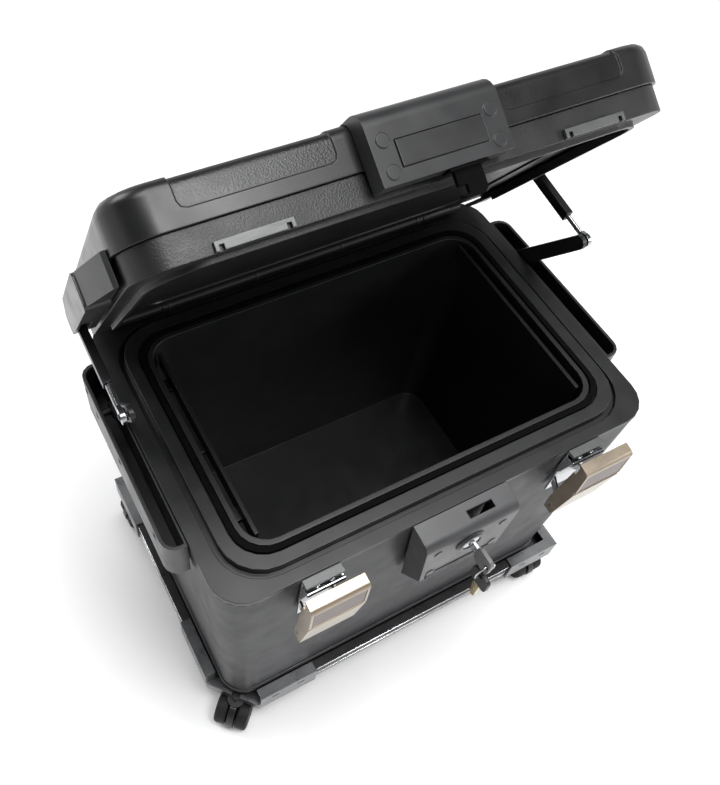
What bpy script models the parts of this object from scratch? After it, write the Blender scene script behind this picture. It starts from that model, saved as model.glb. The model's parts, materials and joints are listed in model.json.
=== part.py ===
"""Fireproof document box with a hinged lid, standing on its wheeled cart.

World axes: X runs across the front, Y from the front to the back and Z up, in metres.
The floor is z = 0 and the box is centred on the Z axis. Lid pieces are modelled where they
lie with the lid shut, and the empty on the hinge axis then turns them to the open pose.
"""

import math

import bmesh
import bpy
from mathutils import Matrix, Vector

# ---------------------------------------------------------------- driving dimensions
MM = 0.001
GAP = 0.3 * MM

RIM_Z = 345 * MM
BASE_BOTTOM_Z = 55 * MM
OPENING_HALF_X = 162 * MM
OPENING_HALF_Y = 102 * MM
OPENING_RADIUS = 22 * MM
OPENING_CENTRE_Y = -4 * MM
HALF_X = 201 * MM
HALF_Y = 142 * MM
FRONT_Y = -HALF_Y
OUTER_RADIUS = 28 * MM
BASE_TAPER = 9.5 * MM
CORNER_SEGMENTS = 5

SHELL_SETBACK = 0.6 * MM
SHELL_WALL = 4 * MM
LINER_WALL = 3 * MM
CAVITY_DEPTH = 248 * MM
CAVITY_TAPER = 6 * MM
FLANGE_THICKNESS = 5 * MM
LIP_HEIGHT = 4 * MM
LIP_OUTER = 21 * MM
GROOVE_OUTER = 25.5 * MM
GROOVE_DEPTH = 4 * MM
SEAL_INNER = 5.3 * MM
SEAL_OUTER = 9.7 * MM
SEAL_CLEARANCE = 0.8 * MM
SEAL_SEAT_DEPTH = 2.5 * MM
FOOT_PAD_HALF = (145 * MM, 118 * MM)
FOOT_PAD_Z = 50 * MM
RAIL_X = (151.5 * MM, 155 * MM)
RAIL_HALF_LENGTH = 92 * MM
RAIL_FOOT_PITCH = 66 * MM

LID_HEIGHT = 50 * MM
SKIRT_BOTTOM = 0.6 * MM
SKIRT_TOP = 19 * MM
SKIRT_SETBACK = 2.5 * MM
SKIRT_WALL = 4 * MM
COVER_WALL = 4 * MM
COVER_SOFTNESS = 9 * MM
PANEL_X = (60 * MM, 160 * MM)
PANEL_BOTTOM = 29 * MM
PANEL_RECESS = 1.2 * MM
TONGUE_END_Y = 80 * MM
LID_OPEN_ANGLE = math.radians(56)
HINGE = Vector((0, 130 * MM, RIM_Z + 7 * MM))
HINGE_NOTCH_Y = 112 * MM
HINGE_BARREL_RADIUS = 5.5 * MM
HINGE_PIN_RADIUS = 2.4 * MM
HINGE_BORE_RADIUS = 2.8 * MM

NAME_BLOCK_HALF = 47 * MM
NAME_BLOCK_DEPTH = 16 * MM
NAME_BLOCK_BOTTOM = 3.5 * MM
BOSS_X = 38 * MM
BOSS_Z = (11 * MM, 30 * MM)

STAY_PIVOT = Vector((0, 64 * MM, RIM_Z - 18 * MM))
STAY_ARM_LENGTH = 104 * MM
STAY_ARM_OPEN = math.radians(127.2)
LUG_PIVOT = Vector((0, 45 * MM, RIM_Z + 6 * MM))
ARM_X = (203.9 * MM, 207.9 * MM)
ARM_ROOT_RADIUS = 7.5 * MM
ARM_TIP_RADIUS = 6.5 * MM
STRUT_X = (208.7 * MM, 215.5 * MM)
STRUT_LENGTH = 54 * MM
STRUT_BORE_RADIUS = 2.6 * MM
ROD_RADIUS = 2.2 * MM
LUG_TOP = 25.9 * MM
CHANNEL_HALF_LENGTH = 92 * MM
CHANNEL_CENTRE_Y = 11 * MM
CHANNEL_DEPTH = 46 * MM
CHANNEL_INNER_X = HALF_X + 0.4 * MM
CHANNEL_OUTER_X = 219 * MM

LATCH_X = 124 * MM
LATCH_HALF_WIDTH = 24.2 * MM
LATCH_PLATE_HALF = 16 * MM
LATCH_PIN = (-158 * MM, RIM_Z - 62 * MM)
LATCH_PIN_RADIUS = 1.5 * MM
LATCH_PIN_HOLE = 1.9 * MM
LEVER_TOP_BACK = (-161 * MM, RIM_Z + 11.9 * MM)
LEVER_TOP_FRONT = (-171.5 * MM, RIM_Z + 10.6 * MM)
LEVER_KNEE = (-171.6 * MM, RIM_Z - 22 * MM)
LEVER_FOOT_FRONT = (-164.2 * MM, RIM_Z - 70 * MM)
LEVER_FOOT_BACK_Y = -154.2 * MM
LEVER_SIDE_WALL = 2.4 * MM
LEVER_FRONT_WALL = 3.2 * MM
STRIKE_HALF = 25 * MM
STRIKE_FACE_Y = -142.7 * MM

LOCK_FACE_Y = FRONT_Y - 23 * MM
LOCK_AXIS_Z = RIM_Z - 25 * MM
SLOT_X = 12.5 * MM

CART_HALF_X = 203.5 * MM
CART_HALF_Y = 144 * MM
CART_BOTTOM_Z = 43 * MM
CART_TOP_Z = 67 * MM
CORNER_CUT_X = 38 * MM
CORNER_CUT_Y = 44 * MM
CASTER_X = 184 * MM
CASTER_Y = 126 * MM
WHEEL_RADIUS = 17 * MM
WHEEL_WIDTH = 12.5 * MM
WHEEL_GAP = 9.6 * MM
CASTER_TRAIL = 6 * MM
RAIL_DEPTH = 9.5 * MM
SHELF_DEPTH = 14 * MM
SHELF_THICKNESS = 3 * MM
RAIL_GROOVE_HEIGHTS = (7 * MM, 16 * MM)
RAIL_GROOVE_HALF = 1.4 * MM
RAIL_GROOVE_DEPTH = 1.2 * MM
BRACKET_SKIN = 2 * MM
BRACKET_LEG = 62 * MM

# Each corner is named for its place, and has a cut or a square bracket and a caster heading.
CORNERS = (
    (-1, -1, "front_left", True, -45),
    (1, -1, "front_right", False, 0),
    (-1, 1, "back_left", False, -90),
    (1, 1, "back_right", True, 135),
)

# ---------------------------------------------------------------- scene and helpers
for old in list(bpy.data.objects):
    bpy.data.objects.remove(old, do_unlink=True)

PARTS = bpy.data.collections.new("fireproof_document_box")
CUTTERS = bpy.data.collections.new("cutters")
for collection in (PARTS, CUTTERS):
    bpy.context.scene.collection.children.link(collection)
CUTTERS.hide_render = True


def material(name, colour, roughness, metallic=0.0):
    """A named Principled material."""
    made = bpy.data.materials.new(name)
    made.use_nodes = True
    shader = made.node_tree.nodes["Principled BSDF"]
    shader.inputs["Base Color"].default_value = (*colour, 1.0)
    shader.inputs["Roughness"].default_value = roughness
    shader.inputs["Metallic"].default_value = metallic
    made.diffuse_color = (*colour, 1.0)
    return made


def pivot(name, origin, turn=0.0, parent=None, heading=0.0):
    """An empty on a joint axis, turned about X and then about Z. Origins are given with the lid shut."""
    empty = bpy.data.objects.new(name, None)
    empty.empty_display_size = 0.02
    PARTS.objects.link(empty)
    attach(empty, parent)
    empty.location = origin
    empty.rotation_euler = (turn, 0, heading)
    empty["origin"] = tuple(origin)
    return empty


def attach(obj, parent):
    """Hangs a piece on a pivot without moving its mesh from the given coordinates."""
    if parent:
        obj.parent = parent
        obj.matrix_parent_inverse = Matrix.Translation(-Vector(parent["origin"]))


def add(name, mesh, look, parent=None):
    """A named object with its material, on its pivot."""
    obj = bpy.data.objects.new(name, mesh)
    mesh.name = name
    mesh.materials.append(look)
    PARTS.objects.link(obj)
    attach(obj, parent)
    return obj


def smooth(obj, angle=35):
    """Shades round stretches smooth and keeps creases sharper than the angle."""
    limit = math.radians(angle)
    work = bmesh.new()
    work.from_mesh(obj.data)
    for face in work.faces:
        face.smooth = True
    for edge in work.edges:
        edge.smooth = len(edge.link_faces) == 2 and edge.calc_face_angle(0) < limit
    work.to_mesh(obj.data)
    work.free()
    return obj


def to_mesh(work):
    """The finished mesh, with its faces turned outwards."""
    mesh = bpy.data.meshes.new("shape")
    bmesh.ops.recalc_face_normals(work, faces=work.faces)
    if work.calc_volume(signed=True) < 0:
        bmesh.ops.reverse_faces(work, faces=work.faces)
    work.to_mesh(mesh)
    work.free()
    return mesh


def block(x_range, y_range, z_range):
    """An upright box between the given limits."""
    work = bmesh.new()
    bmesh.ops.create_cube(work, size=1)
    low = Vector((x_range[0], y_range[0], z_range[0]))
    high = Vector((x_range[1], y_range[1], z_range[1]))
    bmesh.ops.scale(work, vec=high - low, verts=work.verts)
    bmesh.ops.translate(work, vec=(low + high) / 2, verts=work.verts)
    return to_mesh(work)


def bevelled_block(x_range, y_range, z_range, width, segments=2):
    """An upright box with every edge bevelled."""
    work = bmesh.new()
    work.from_mesh(block(x_range, y_range, z_range))
    bmesh.ops.bevel(
        work, geom=list(work.edges), offset=width, segments=segments, profile=0.5, affect="EDGES"
    )
    return to_mesh(work)


def tub(half_x, half_y, z_low, z_high, radius, inset=0.0, soft_top=0.0, centre_y=0.0):
    """A solid with rounded upright corners, drawn in by inset at its foot or softened on top."""
    work = bmesh.new()
    bmesh.ops.create_cube(work, size=2)
    height = z_high - z_low
    bmesh.ops.scale(work, vec=(half_x, half_y, height / 2), verts=work.verts)
    bmesh.ops.translate(work, vec=(0, 0, z_low + height / 2), verts=work.verts)
    upright = [edge for edge in work.edges if abs(edge.verts[0].co.z - edge.verts[1].co.z) > height / 2]
    bmesh.ops.bevel(
        work, geom=upright, offset=radius, segments=CORNER_SEGMENTS, profile=0.5, affect="EDGES"
    )
    for vert in work.verts:
        if vert.co.z < z_low + height / 2:
            vert.co.x *= 1 - inset / half_x
            vert.co.y *= 1 - inset / half_y
    if soft_top:
        top = [edge for edge in work.edges if min(vert.co.z for vert in edge.verts) > z_high - MM]
        rim = [edge for edge in top if any(abs(face.normal.z) < 0.5 for face in edge.link_faces)]
        bmesh.ops.bevel(work, geom=rim, offset=soft_top, segments=3, profile=0.5, affect="EDGES")
    bmesh.ops.translate(work, vec=(0, centre_y, 0), verts=work.verts)
    return to_mesh(work)


def ring_tub(offset, z_low, z_high, inset=0.0):
    """A tub whose outline lies at an offset outside the opening of the box."""
    half_x = OPENING_HALF_X + offset
    half_y = OPENING_HALF_Y + offset
    radius = OPENING_RADIUS + 0.6 * offset
    return tub(half_x, half_y, z_low, z_high, radius, inset, centre_y=OPENING_CENTRE_Y)


def wall_tub(depth, z_low, z_high, inset=0.0, soft_top=0.0):
    """A tub whose outline lies at a depth inside the outer walls of the box."""
    return tub(HALF_X - depth, HALF_Y - depth, z_low, z_high, OUTER_RADIUS - depth, inset, soft_top)


def cylinder(centre, axis, radius, length, sides=20, end_radius=None):
    """A cylinder about its centre, or a cone where its far end has another radius."""
    work = bmesh.new()
    bmesh.ops.create_cone(
        work,
        cap_ends=True,
        segments=sides,
        radius1=radius,
        radius2=radius if end_radius is None else end_radius,
        depth=length,
    )
    turn = Vector((0, 0, 1)).rotation_difference(Vector(axis)).to_matrix().to_4x4()
    work.transform(Matrix.Translation(centre) @ turn)
    return to_mesh(work)


def arc(centre, radius, start, end, steps):
    """Points on an arc, with the angles in degrees."""
    points = []
    for step in range(steps + 1):
        angle = math.radians(start + (end - start) * step / steps)
        points.append((centre[0] + radius * math.cos(angle), centre[1] + radius * math.sin(angle)))
    return points


def rounded(points, radius, steps=3):
    """An outline with each corner replaced by an arc of the given radius."""
    outline = []
    for index, here in enumerate(points):
        here = Vector(here)
        back = Vector(points[index - 1]) - here
        ahead = Vector(points[(index + 1) % len(points)]) - here
        half_angle = back.angle(ahead) / 2
        reach = radius / math.tan(half_angle)
        centre = here + (back.normalized() + ahead.normalized()).normalized() * radius / math.sin(half_angle)
        start = here + back.normalized() * reach - centre
        end = here + ahead.normalized() * reach - centre
        for step in range(steps + 1):
            blended = start.slerp(end, step / steps)
            outline.append(tuple(centre + blended.normalized() * radius))
    return outline


PLANES = {
    "xy": Matrix.Identity(4),
    "yz": Matrix(((0, 0, 1, 0), (1, 0, 0, 0), (0, 1, 0, 0), (0, 0, 0, 1))),
    "zx": Matrix(((0, 1, 0, 0), (0, 0, 1, 0), (1, 0, 0, 0), (0, 0, 0, 1))),
}


def prism(outline, plane, low, high):
    """A flat outline in a plane, extruded along the plane's normal from low to high."""
    curve = bpy.data.curves.new("outline", "CURVE")
    curve.dimensions = "2D"
    curve.fill_mode = "BOTH"
    curve.extrude = (high - low) / 2
    spline = curve.splines.new("POLY")
    spline.points.add(len(outline) - 1)
    for point, (across, along) in zip(spline.points, outline):
        point.co = (across, along, 0, 1)
    spline.use_cyclic_u = True
    holder = bpy.data.objects.new("outline", curve)
    work = bmesh.new()
    work.from_mesh(bpy.data.meshes.new_from_object(holder))
    bpy.data.objects.remove(holder)
    bmesh.ops.remove_doubles(work, verts=work.verts, dist=0.00001)
    bmesh.ops.translate(work, vec=(0, 0, (low + high) / 2), verts=work.verts)
    work.transform(PLANES[plane])
    return to_mesh(work)


def combine(target, mesh, operation):
    """Adds a live exact Boolean to the target, with the mesh as its hidden cutter."""
    cutter = bpy.data.objects.new(f"{target.name}_{operation.lower()}", mesh)
    CUTTERS.objects.link(cutter)
    cutter.display_type = "WIRE"
    cutter.hide_render = True
    cutter.parent = target.parent
    cutter.matrix_parent_inverse = target.matrix_parent_inverse
    modifier = target.modifiers.new(operation.title(), "BOOLEAN")
    modifier.operation = operation
    modifier.solver = "EXACT"
    modifier.object = cutter


def cut(target, *meshes):
    """Takes the meshes away from the target."""
    for mesh in meshes:
        combine(target, mesh, "DIFFERENCE")


def join(target, *meshes):
    """Adds the meshes to the target."""
    for mesh in meshes:
        combine(target, mesh, "UNION")


def use_as_cutter(target, cutter):
    """Moves an object that has Booleans of its own to the cutters, and cuts with it."""
    PARTS.objects.unlink(cutter)
    CUTTERS.objects.link(cutter)
    cutter.display_type = "WIRE"
    cutter.hide_render = True
    modifier = target.modifiers.new("Difference", "BOOLEAN")
    modifier.operation = "DIFFERENCE"
    modifier.solver = "EXACT"
    modifier.object = cutter


def mirrored(side, low, high):
    """The X limits of a piece on the left (side = -1) or on the right (side = 1)."""
    return tuple(sorted((side * low, side * high)))


# ---------------------------------------------------------------- materials
SHELL_BLACK = material("moulded_black", (0.030, 0.031, 0.034), 0.55)
LINER_BLACK = material("liner_black", (0.022, 0.023, 0.025), 0.45)
TRIM_GREY = material("trim_grey", (0.085, 0.088, 0.092), 0.5)
SEAL_BLACK = material("seal_rubber", (0.010, 0.010, 0.010), 0.8)
INSULATION = material("insulation", (0.62, 0.60, 0.55), 0.95)
RAIL_BLACK = material("rail_steel", (0.020, 0.020, 0.022), 0.35, 0.4)
CHROME = material("chrome", (0.78, 0.79, 0.80), 0.15, 1.0)
STEEL = material("bright_steel", (0.60, 0.61, 0.62), 0.3, 1.0)
STRIKE = material("strike_zinc", (0.46, 0.48, 0.48), 0.4, 0.8)
CHAMPAGNE = material("champagne_lever", (0.60, 0.55, 0.46), 0.35, 0.5)
INSERT = material("lever_insert", (0.42, 0.38, 0.37), 0.45, 0.2)
LOCK_GREY = material("lock_housing_grey", (0.11, 0.115, 0.12), 0.45)
PLATE = material("blank_plate", (0.05, 0.05, 0.052), 0.3, 0.2)
CART_BLACK = material("cart_rail_black", (0.018, 0.018, 0.020), 0.4, 0.3)
BRACKET_GREY = material("cart_bracket_grey", (0.10, 0.10, 0.105), 0.4, 0.6)
TYRE = material("caster_tyre", (0.012, 0.012, 0.012), 0.6)

# ---------------------------------------------------------------- joint axes
LID = pivot("lid_hinge", HINGE, -LID_OPEN_ANGLE)


# ---------------------------------------------------------------- base
def build_base():
    """The outer shell with its foot pad, and the insulation that fills the space to the liner."""
    shell_top = RIM_Z - FLANGE_THICKNESS - GAP
    hollow_depth = SHELL_SETBACK + SHELL_WALL
    floor_z = BASE_BOTTOM_Z + SHELL_WALL
    shell = add("base_shell", wall_tub(SHELL_SETBACK, BASE_BOTTOM_Z, shell_top, BASE_TAPER), SHELL_BLACK)
    pad_x, pad_y = FOOT_PAD_HALF
    join(shell, block((-pad_x, pad_x), (-pad_y, pad_y), (FOOT_PAD_Z, BASE_BOTTOM_Z + MM)))
    cut(shell, wall_tub(hollow_depth, floor_z, RIM_Z, BASE_TAPER))
    smooth(shell)

    fill_shape = wall_tub(hollow_depth + 0.5 * MM, floor_z + GAP, shell_top, BASE_TAPER)
    fill = add("base_insulation", fill_shape, INSULATION)
    liner_bottom = RIM_Z - CAVITY_DEPTH - LINER_WALL
    cut(fill, ring_tub(LINER_WALL + GAP, liner_bottom - GAP, RIM_Z, CAVITY_TAPER))


def build_liner():
    """The inner tub with the rim flange, the lid groove and the seat of the seal."""
    lip_top = RIM_Z + LIP_HEIGHT
    liner_bottom = RIM_Z - CAVITY_DEPTH - LINER_WALL
    liner = add("base_liner", wall_tub(0, RIM_Z - FLANGE_THICKNESS, RIM_Z), LINER_BLACK)
    join(liner, ring_tub(LINER_WALL, liner_bottom, RIM_Z - 2 * MM, CAVITY_TAPER))
    join(liner, ring_tub(LIP_OUTER, RIM_Z - 2 * MM, lip_top))
    groove = add("groove_cutter", ring_tub(GROOVE_OUTER, RIM_Z - GROOVE_DEPTH, RIM_Z + MM), LINER_BLACK)
    cut(groove, ring_tub(LIP_OUTER, RIM_Z - GROOVE_DEPTH - MM, RIM_Z + 2 * MM))
    use_as_cutter(liner, groove)
    seat_bottom = lip_top - SEAL_SEAT_DEPTH
    seat_shape = ring_tub(SEAL_OUTER + SEAL_CLEARANCE, seat_bottom, lip_top + MM)
    seat = add("seal_seat_cutter", seat_shape, LINER_BLACK)
    cut(seat, ring_tub(SEAL_INNER - SEAL_CLEARANCE, RIM_Z, RIM_Z + 2 * LIP_HEIGHT))
    use_as_cutter(liner, seat)
    cut(liner, ring_tub(0, RIM_Z - CAVITY_DEPTH, RIM_Z + 2 * LIP_HEIGHT, CAVITY_TAPER))
    smooth(liner)

    seal = add("rim_gasket", ring_tub(SEAL_OUTER, seat_bottom + GAP, lip_top + MM), SEAL_BLACK)
    cut(seal, ring_tub(SEAL_INNER, RIM_Z, RIM_Z + 2 * LIP_HEIGHT))
    smooth(seal)


def build_file_rails():
    """The rails that hanging folders hook over, each on three feet against the liner."""
    inner, outer = RAIL_X
    rail_y = (OPENING_CENTRE_Y - RAIL_HALF_LENGTH, OPENING_CENTRE_Y + RAIL_HALF_LENGTH)
    foot_end = OPENING_HALF_X - 1.2 * MM
    for side, name in ((-1, "file_rail_left"), (1, "file_rail_right")):
        rail_shape = block(mirrored(side, inner, outer), rail_y, (RIM_Z - 16 * MM, RIM_Z + 2 * MM))
        rail = add(name, rail_shape, RAIL_BLACK)
        foot_x = mirrored(side, outer - MM, foot_end)
        for step in (-1, 0, 1):
            foot_y = OPENING_CENTRE_Y + step * RAIL_FOOT_PITCH
            join(rail, block(foot_x, (foot_y - 6 * MM, foot_y + 6 * MM), (RIM_Z - 14 * MM, RIM_Z - 9 * MM)))


def channel_plan(inner, outer, low_y, high_y, corner, side):
    """The outline of a side channel from above, straight against the box and rounded outside."""
    return [
        (inner, low_y),
        (inner, high_y),
        *arc((outer - side * corner, high_y - corner), corner, 90, 90 - 90 * side, 4),
        *arc((outer - side * corner, low_y + corner), corner, -90 + 90 * side, -90, 4),
    ]


def build_side_channels():
    """The open-topped channels on the sides of the box that hold the stay arms."""
    wall = 3 * MM
    back_wall = 2 * MM
    corner = 12 * MM
    pin_hole_radius = 3.4 * MM
    low_y = CHANNEL_CENTRE_Y - CHANNEL_HALF_LENGTH
    high_y = CHANNEL_CENTRE_Y + CHANNEL_HALF_LENGTH
    for side, name in ((-1, "side_channel_left"), (1, "side_channel_right")):
        inner = side * CHANNEL_INNER_X
        outer = side * CHANNEL_OUTER_X
        plan = channel_plan(inner, outer, low_y, high_y, corner, side)
        channel = add(name, prism(plan, "xy", RIM_Z - CHANNEL_DEPTH, RIM_Z - MM), SHELL_BLACK)
        hollow_inner = side * (CHANNEL_INNER_X + back_wall)
        hollow_outer = side * (CHANNEL_OUTER_X - wall)
        hollow = channel_plan(hollow_inner, hollow_outer, low_y + wall, high_y - wall, corner - wall, side)
        cut(channel, prism(hollow, "xy", RIM_Z - CHANNEL_DEPTH + wall, RIM_Z + MM))
        pin_centre = (hollow_outer, STAY_PIVOT.y, STAY_PIVOT.z)
        pin_hole = cylinder(pin_centre, (side, 0, 0), pin_hole_radius, 4 * wall, 14)
        cut(channel, pin_hole)
        smooth(channel)


# ---------------------------------------------------------------- lid
def hinge_notch(low, high):
    """The space behind the lid that the hinge turns in."""
    return block((-HALF_X - MM, HALF_X + MM), (HINGE_NOTCH_Y, HALF_Y + MM), (low, high))


def build_lid_frame():
    """The lower skirt of the lid, with the tongue that drops into the groove of the rim."""
    skirt_bottom = RIM_Z + SKIRT_BOTTOM
    skirt_top = RIM_Z + SKIRT_TOP
    frame = add("lid_frame", wall_tub(SKIRT_SETBACK, skirt_bottom, skirt_top), SHELL_BLACK, LID)
    join(frame, ring_tub(GROOVE_OUTER - 0.6 * MM, RIM_Z - 3 * MM, skirt_bottom + 2 * MM))
    cut(frame, ring_tub(LIP_OUTER + 0.6 * MM, RIM_Z - 5 * MM, skirt_bottom + 4 * MM))
    cut(frame, wall_tub(SKIRT_SETBACK + SKIRT_WALL, skirt_bottom + 3.5 * MM, skirt_top + MM))
    cut(frame, hinge_notch(RIM_Z - 10 * MM, skirt_top + MM))
    relief_bottom = RIM_Z - 5 * MM
    relief_top = skirt_bottom + 5 * MM
    relief_shape = ring_tub(GROOVE_OUTER - 0.3 * MM, relief_bottom, relief_top)
    relief = add("tongue_relief", relief_shape, SHELL_BLACK, LID)
    front_part = (FRONT_Y - MM, TONGUE_END_Y)
    cut(relief, block((-HALF_X, HALF_X), front_part, (relief_bottom - MM, relief_top + MM)))
    use_as_cutter(frame, relief)
    smooth(frame)


def build_lid_cover():
    """The upper shell of the lid, with two wide panels sunk into its front and top."""
    cover_bottom = RIM_Z + SKIRT_TOP + GAP
    cover_top = RIM_Z + LID_HEIGHT
    cover_shape = wall_tub(0, cover_bottom, cover_top, soft_top=COVER_SOFTNESS)
    cover = add("lid_cover", cover_shape, SHELL_BLACK, LID)
    cut(cover, wall_tub(COVER_WALL, cover_bottom - MM, cover_top - COVER_WALL))
    for side in (-1, 1):
        sunk_shape = bevelled_block(
            mirrored(side, *PANEL_X),
            (FRONT_Y - 8 * MM, HALF_Y - 30 * MM),
            (RIM_Z + PANEL_BOTTOM, cover_top + 8 * MM),
            5 * MM,
        )
        sunk = add("panel_cutter", sunk_shape, SHELL_BLACK, LID)
        kept_top = cover_top - PANEL_RECESS
        cut(sunk, wall_tub(PANEL_RECESS, RIM_Z, kept_top, soft_top=COVER_SOFTNESS - MM))
        use_as_cutter(cover, sunk)
    smooth(cover)


def build_lid_inside():
    """The liner pan under the lid, with a flat that meets the seal, and the insulation above it."""
    liner_bottom = RIM_Z + LIP_HEIGHT + 2 * MM
    liner_top = RIM_Z + 16 * MM
    rim_depth = SKIRT_SETBACK + SKIRT_WALL + 0.6 * MM
    liner = add("lid_liner", wall_tub(rim_depth, liner_bottom, liner_top), LINER_BLACK, LID)
    cut(liner, wall_tub(rim_depth + 3 * MM, liner_bottom + 3 * MM, liner_top + MM))
    cut(liner, hinge_notch(RIM_Z, liner_top + 2 * MM))
    cut(liner, ring_tub(-8 * MM, liner_bottom - MM, liner_bottom + 1.6 * MM))
    smooth(liner)

    fill_top = RIM_Z + LID_HEIGHT - COVER_WALL - GAP
    fill_shape = tub(HALF_X - rim_depth - 0.5 * MM, 118 * MM, liner_top + GAP, fill_top, 20 * MM)
    add("lid_insulation", fill_shape, INSULATION, LID)


def build_name_block():
    """The block on the front of the lid that laps over its top edge, with a blank plate."""
    cover_top = RIM_Z + LID_HEIGHT
    face_y = FRONT_Y - NAME_BLOCK_DEPTH
    wall_y = FRONT_Y - GAP
    lap_y = FRONT_Y + 14 * MM
    shoulder_radius = 12 * MM
    top = cover_top + 0.8 * MM
    shoulder = arc((face_y + shoulder_radius, top - shoulder_radius), shoulder_radius, 180, 90, 5)
    outline = [
        (wall_y, RIM_Z + NAME_BLOCK_BOTTOM),
        (face_y, RIM_Z + NAME_BLOCK_BOTTOM),
        *shoulder,
        (lap_y, top),
        (lap_y, RIM_Z + 34 * MM),
        (wall_y, RIM_Z + 34 * MM),
    ]
    name_block = add(
        "name_block", prism(outline, "yz", -NAME_BLOCK_HALF, NAME_BLOCK_HALF), LOCK_GREY, LID
    )
    cut(name_block, wall_tub(-GAP, RIM_Z + 25 * MM, cover_top + GAP, soft_top=COVER_SOFTNESS))
    recess = block((-31 * MM, 31 * MM), (face_y - MM, face_y + 1.2 * MM), (RIM_Z + 12 * MM, RIM_Z + 29 * MM))
    cut(name_block, recess)
    for boss_x in (-BOSS_X, BOSS_X):
        for boss_z in BOSS_Z:
            boss_centre = (boss_x, face_y, RIM_Z + boss_z)
            join(name_block, cylinder(boss_centre, (0, -1, 0), 5.2 * MM, 2 * MM, 14, 4.4 * MM))
    smooth(name_block)
    plate_back = face_y + 1.2 * MM - GAP
    plate_shape = bevelled_block(
        (-30.6 * MM, 30.6 * MM),
        (plate_back - 1.6 * MM, plate_back),
        (RIM_Z + 12.4 * MM, RIM_Z + 28.6 * MM),
        0.4 * MM,
        1,
    )
    add("name_plate", plate_shape, PLATE, LID)


def build_hasp():
    """The tongue under the name block that drops into the slot of the lock, notched for the bolt."""
    hasp_y = FRONT_Y - 10.6 * MM
    half = 10 * MM
    notch_x = SLOT_X - 4 * MM
    notch_z = (RIM_Z - 13.2 * MM, RIM_Z - 7.8 * MM)
    tip_z = RIM_Z - 15.8 * MM
    outline = [
        (RIM_Z + 2.6 * MM, SLOT_X - half),
        (notch_z[1], SLOT_X - half),
        (notch_z[1], notch_x),
        (notch_z[0], notch_x),
        (notch_z[0], SLOT_X - half),
        (tip_z, SLOT_X - 7 * MM),
        (tip_z, SLOT_X + 7 * MM),
        (notch_z[0], SLOT_X + half),
        (RIM_Z + 2.6 * MM, SLOT_X + half),
    ]
    hasp = add("hasp", prism(outline, "zx", hasp_y - 1.8 * MM, hasp_y + 1.8 * MM), RAIL_BLACK, LID)
    flange = block(
        (SLOT_X - 14 * MM, SLOT_X + 14 * MM),
        (hasp_y - 5 * MM, hasp_y + 6 * MM),
        (RIM_Z + 1.4 * MM, RIM_Z + NAME_BLOCK_BOTTOM - GAP),
    )
    join(hasp, flange)


def build_strikes():
    """The plates on the skirt that the latch levers snap over, with a slot near each end."""
    skirt_y = FRONT_Y + SKIRT_SETBACK
    for side, name in ((-1, "strike_plate_left"), (1, "strike_plate_right")):
        centre_x = side * LATCH_X
        strike_shape = block(
            (centre_x - STRIKE_HALF, centre_x + STRIKE_HALF),
            (STRIKE_FACE_Y, skirt_y - GAP),
            (RIM_Z + MM, RIM_Z + 7 * MM),
        )
        strike = add(name, strike_shape, STRIKE, LID)
        for end in (-1, 1):
            slot_x = centre_x + end * 21 * MM
            slot_sides = (slot_x - 1.5 * MM, slot_x + 1.5 * MM)
            cut(strike, block(slot_sides, (STRIKE_FACE_Y - MM, skirt_y + MM), (RIM_Z, RIM_Z + 4.5 * MM)))


def build_hinge():
    """A long hinge tube on the lid between two short barrels on the rim, all on one pin."""
    middle = 134 * MM
    end = 178 * MM
    along = (1, 0, 0)
    leaf = add("hinge_leaf", cylinder(HINGE, along, HINGE_BARREL_RADIUS, 2 * middle), LINER_BLACK, LID)
    plate = block(
        (-middle + 8 * MM, middle - 8 * MM),
        (HINGE.y - 4.5 * MM, HINGE.y - 1.5 * MM),
        (HINGE.z + 2 * MM, RIM_Z + 40 * MM),
    )
    join(leaf, plate)
    cut(leaf, cylinder(HINGE, along, HINGE_BORE_RADIUS, 3 * middle, 12))
    smooth(leaf)
    barrel_length = end - middle - MM
    for side, name in ((-1, "hinge_barrel_left"), (1, "hinge_barrel_right")):
        centre = Vector((side * (middle + end + MM) / 2, HINGE.y, HINGE.z))
        knuckle = add(name, cylinder(centre, along, HINGE_BARREL_RADIUS, barrel_length), LINER_BLACK)
        foot = block(
            mirrored(side, middle + 4 * MM, end - 4 * MM),
            (HINGE.y + 0.5 * MM, HINGE.y + 5 * MM),
            (RIM_Z + GAP, HINGE.z - MM),
        )
        join(knuckle, foot)
        cut(knuckle, cylinder(HINGE, along, HINGE_BORE_RADIUS, 3 * middle, 12))
        smooth(knuckle)
    pin_length = 2 * end - 2 * MM
    smooth(add("hinge_pin", cylinder(HINGE, along, HINGE_PIN_RADIUS, pin_length, 12), STEEL))


# ---------------------------------------------------------------- lid stays
def build_stays():
    """Both lid stays, turned so that each strut meets its arm with the lid open."""
    shut_direction = 180
    arm_turn = STAY_ARM_OPEN - math.radians(shut_direction)
    tip_shut = LUG_PIVOT - HINGE
    lid_turn = Matrix.Rotation(-LID_OPEN_ANGLE, 3, "X")
    lug_open = HINGE + lid_turn @ tip_shut
    reach = Vector((0, math.cos(STAY_ARM_OPEN), math.sin(STAY_ARM_OPEN))) * STAY_ARM_LENGTH
    elbow = STAY_PIVOT + reach
    strut = elbow - lug_open
    strut_length = strut.length
    strut_angle = math.atan2(strut.z, strut.y) + LID_OPEN_ANGLE
    body_turn = strut_angle - math.radians(shut_direction)
    for side, label in ((-1, "left"), (1, "right")):
        build_arm(side, label, arm_turn)
        build_strut(side, label, body_turn, strut_length)
        build_lug(side, label)


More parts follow.
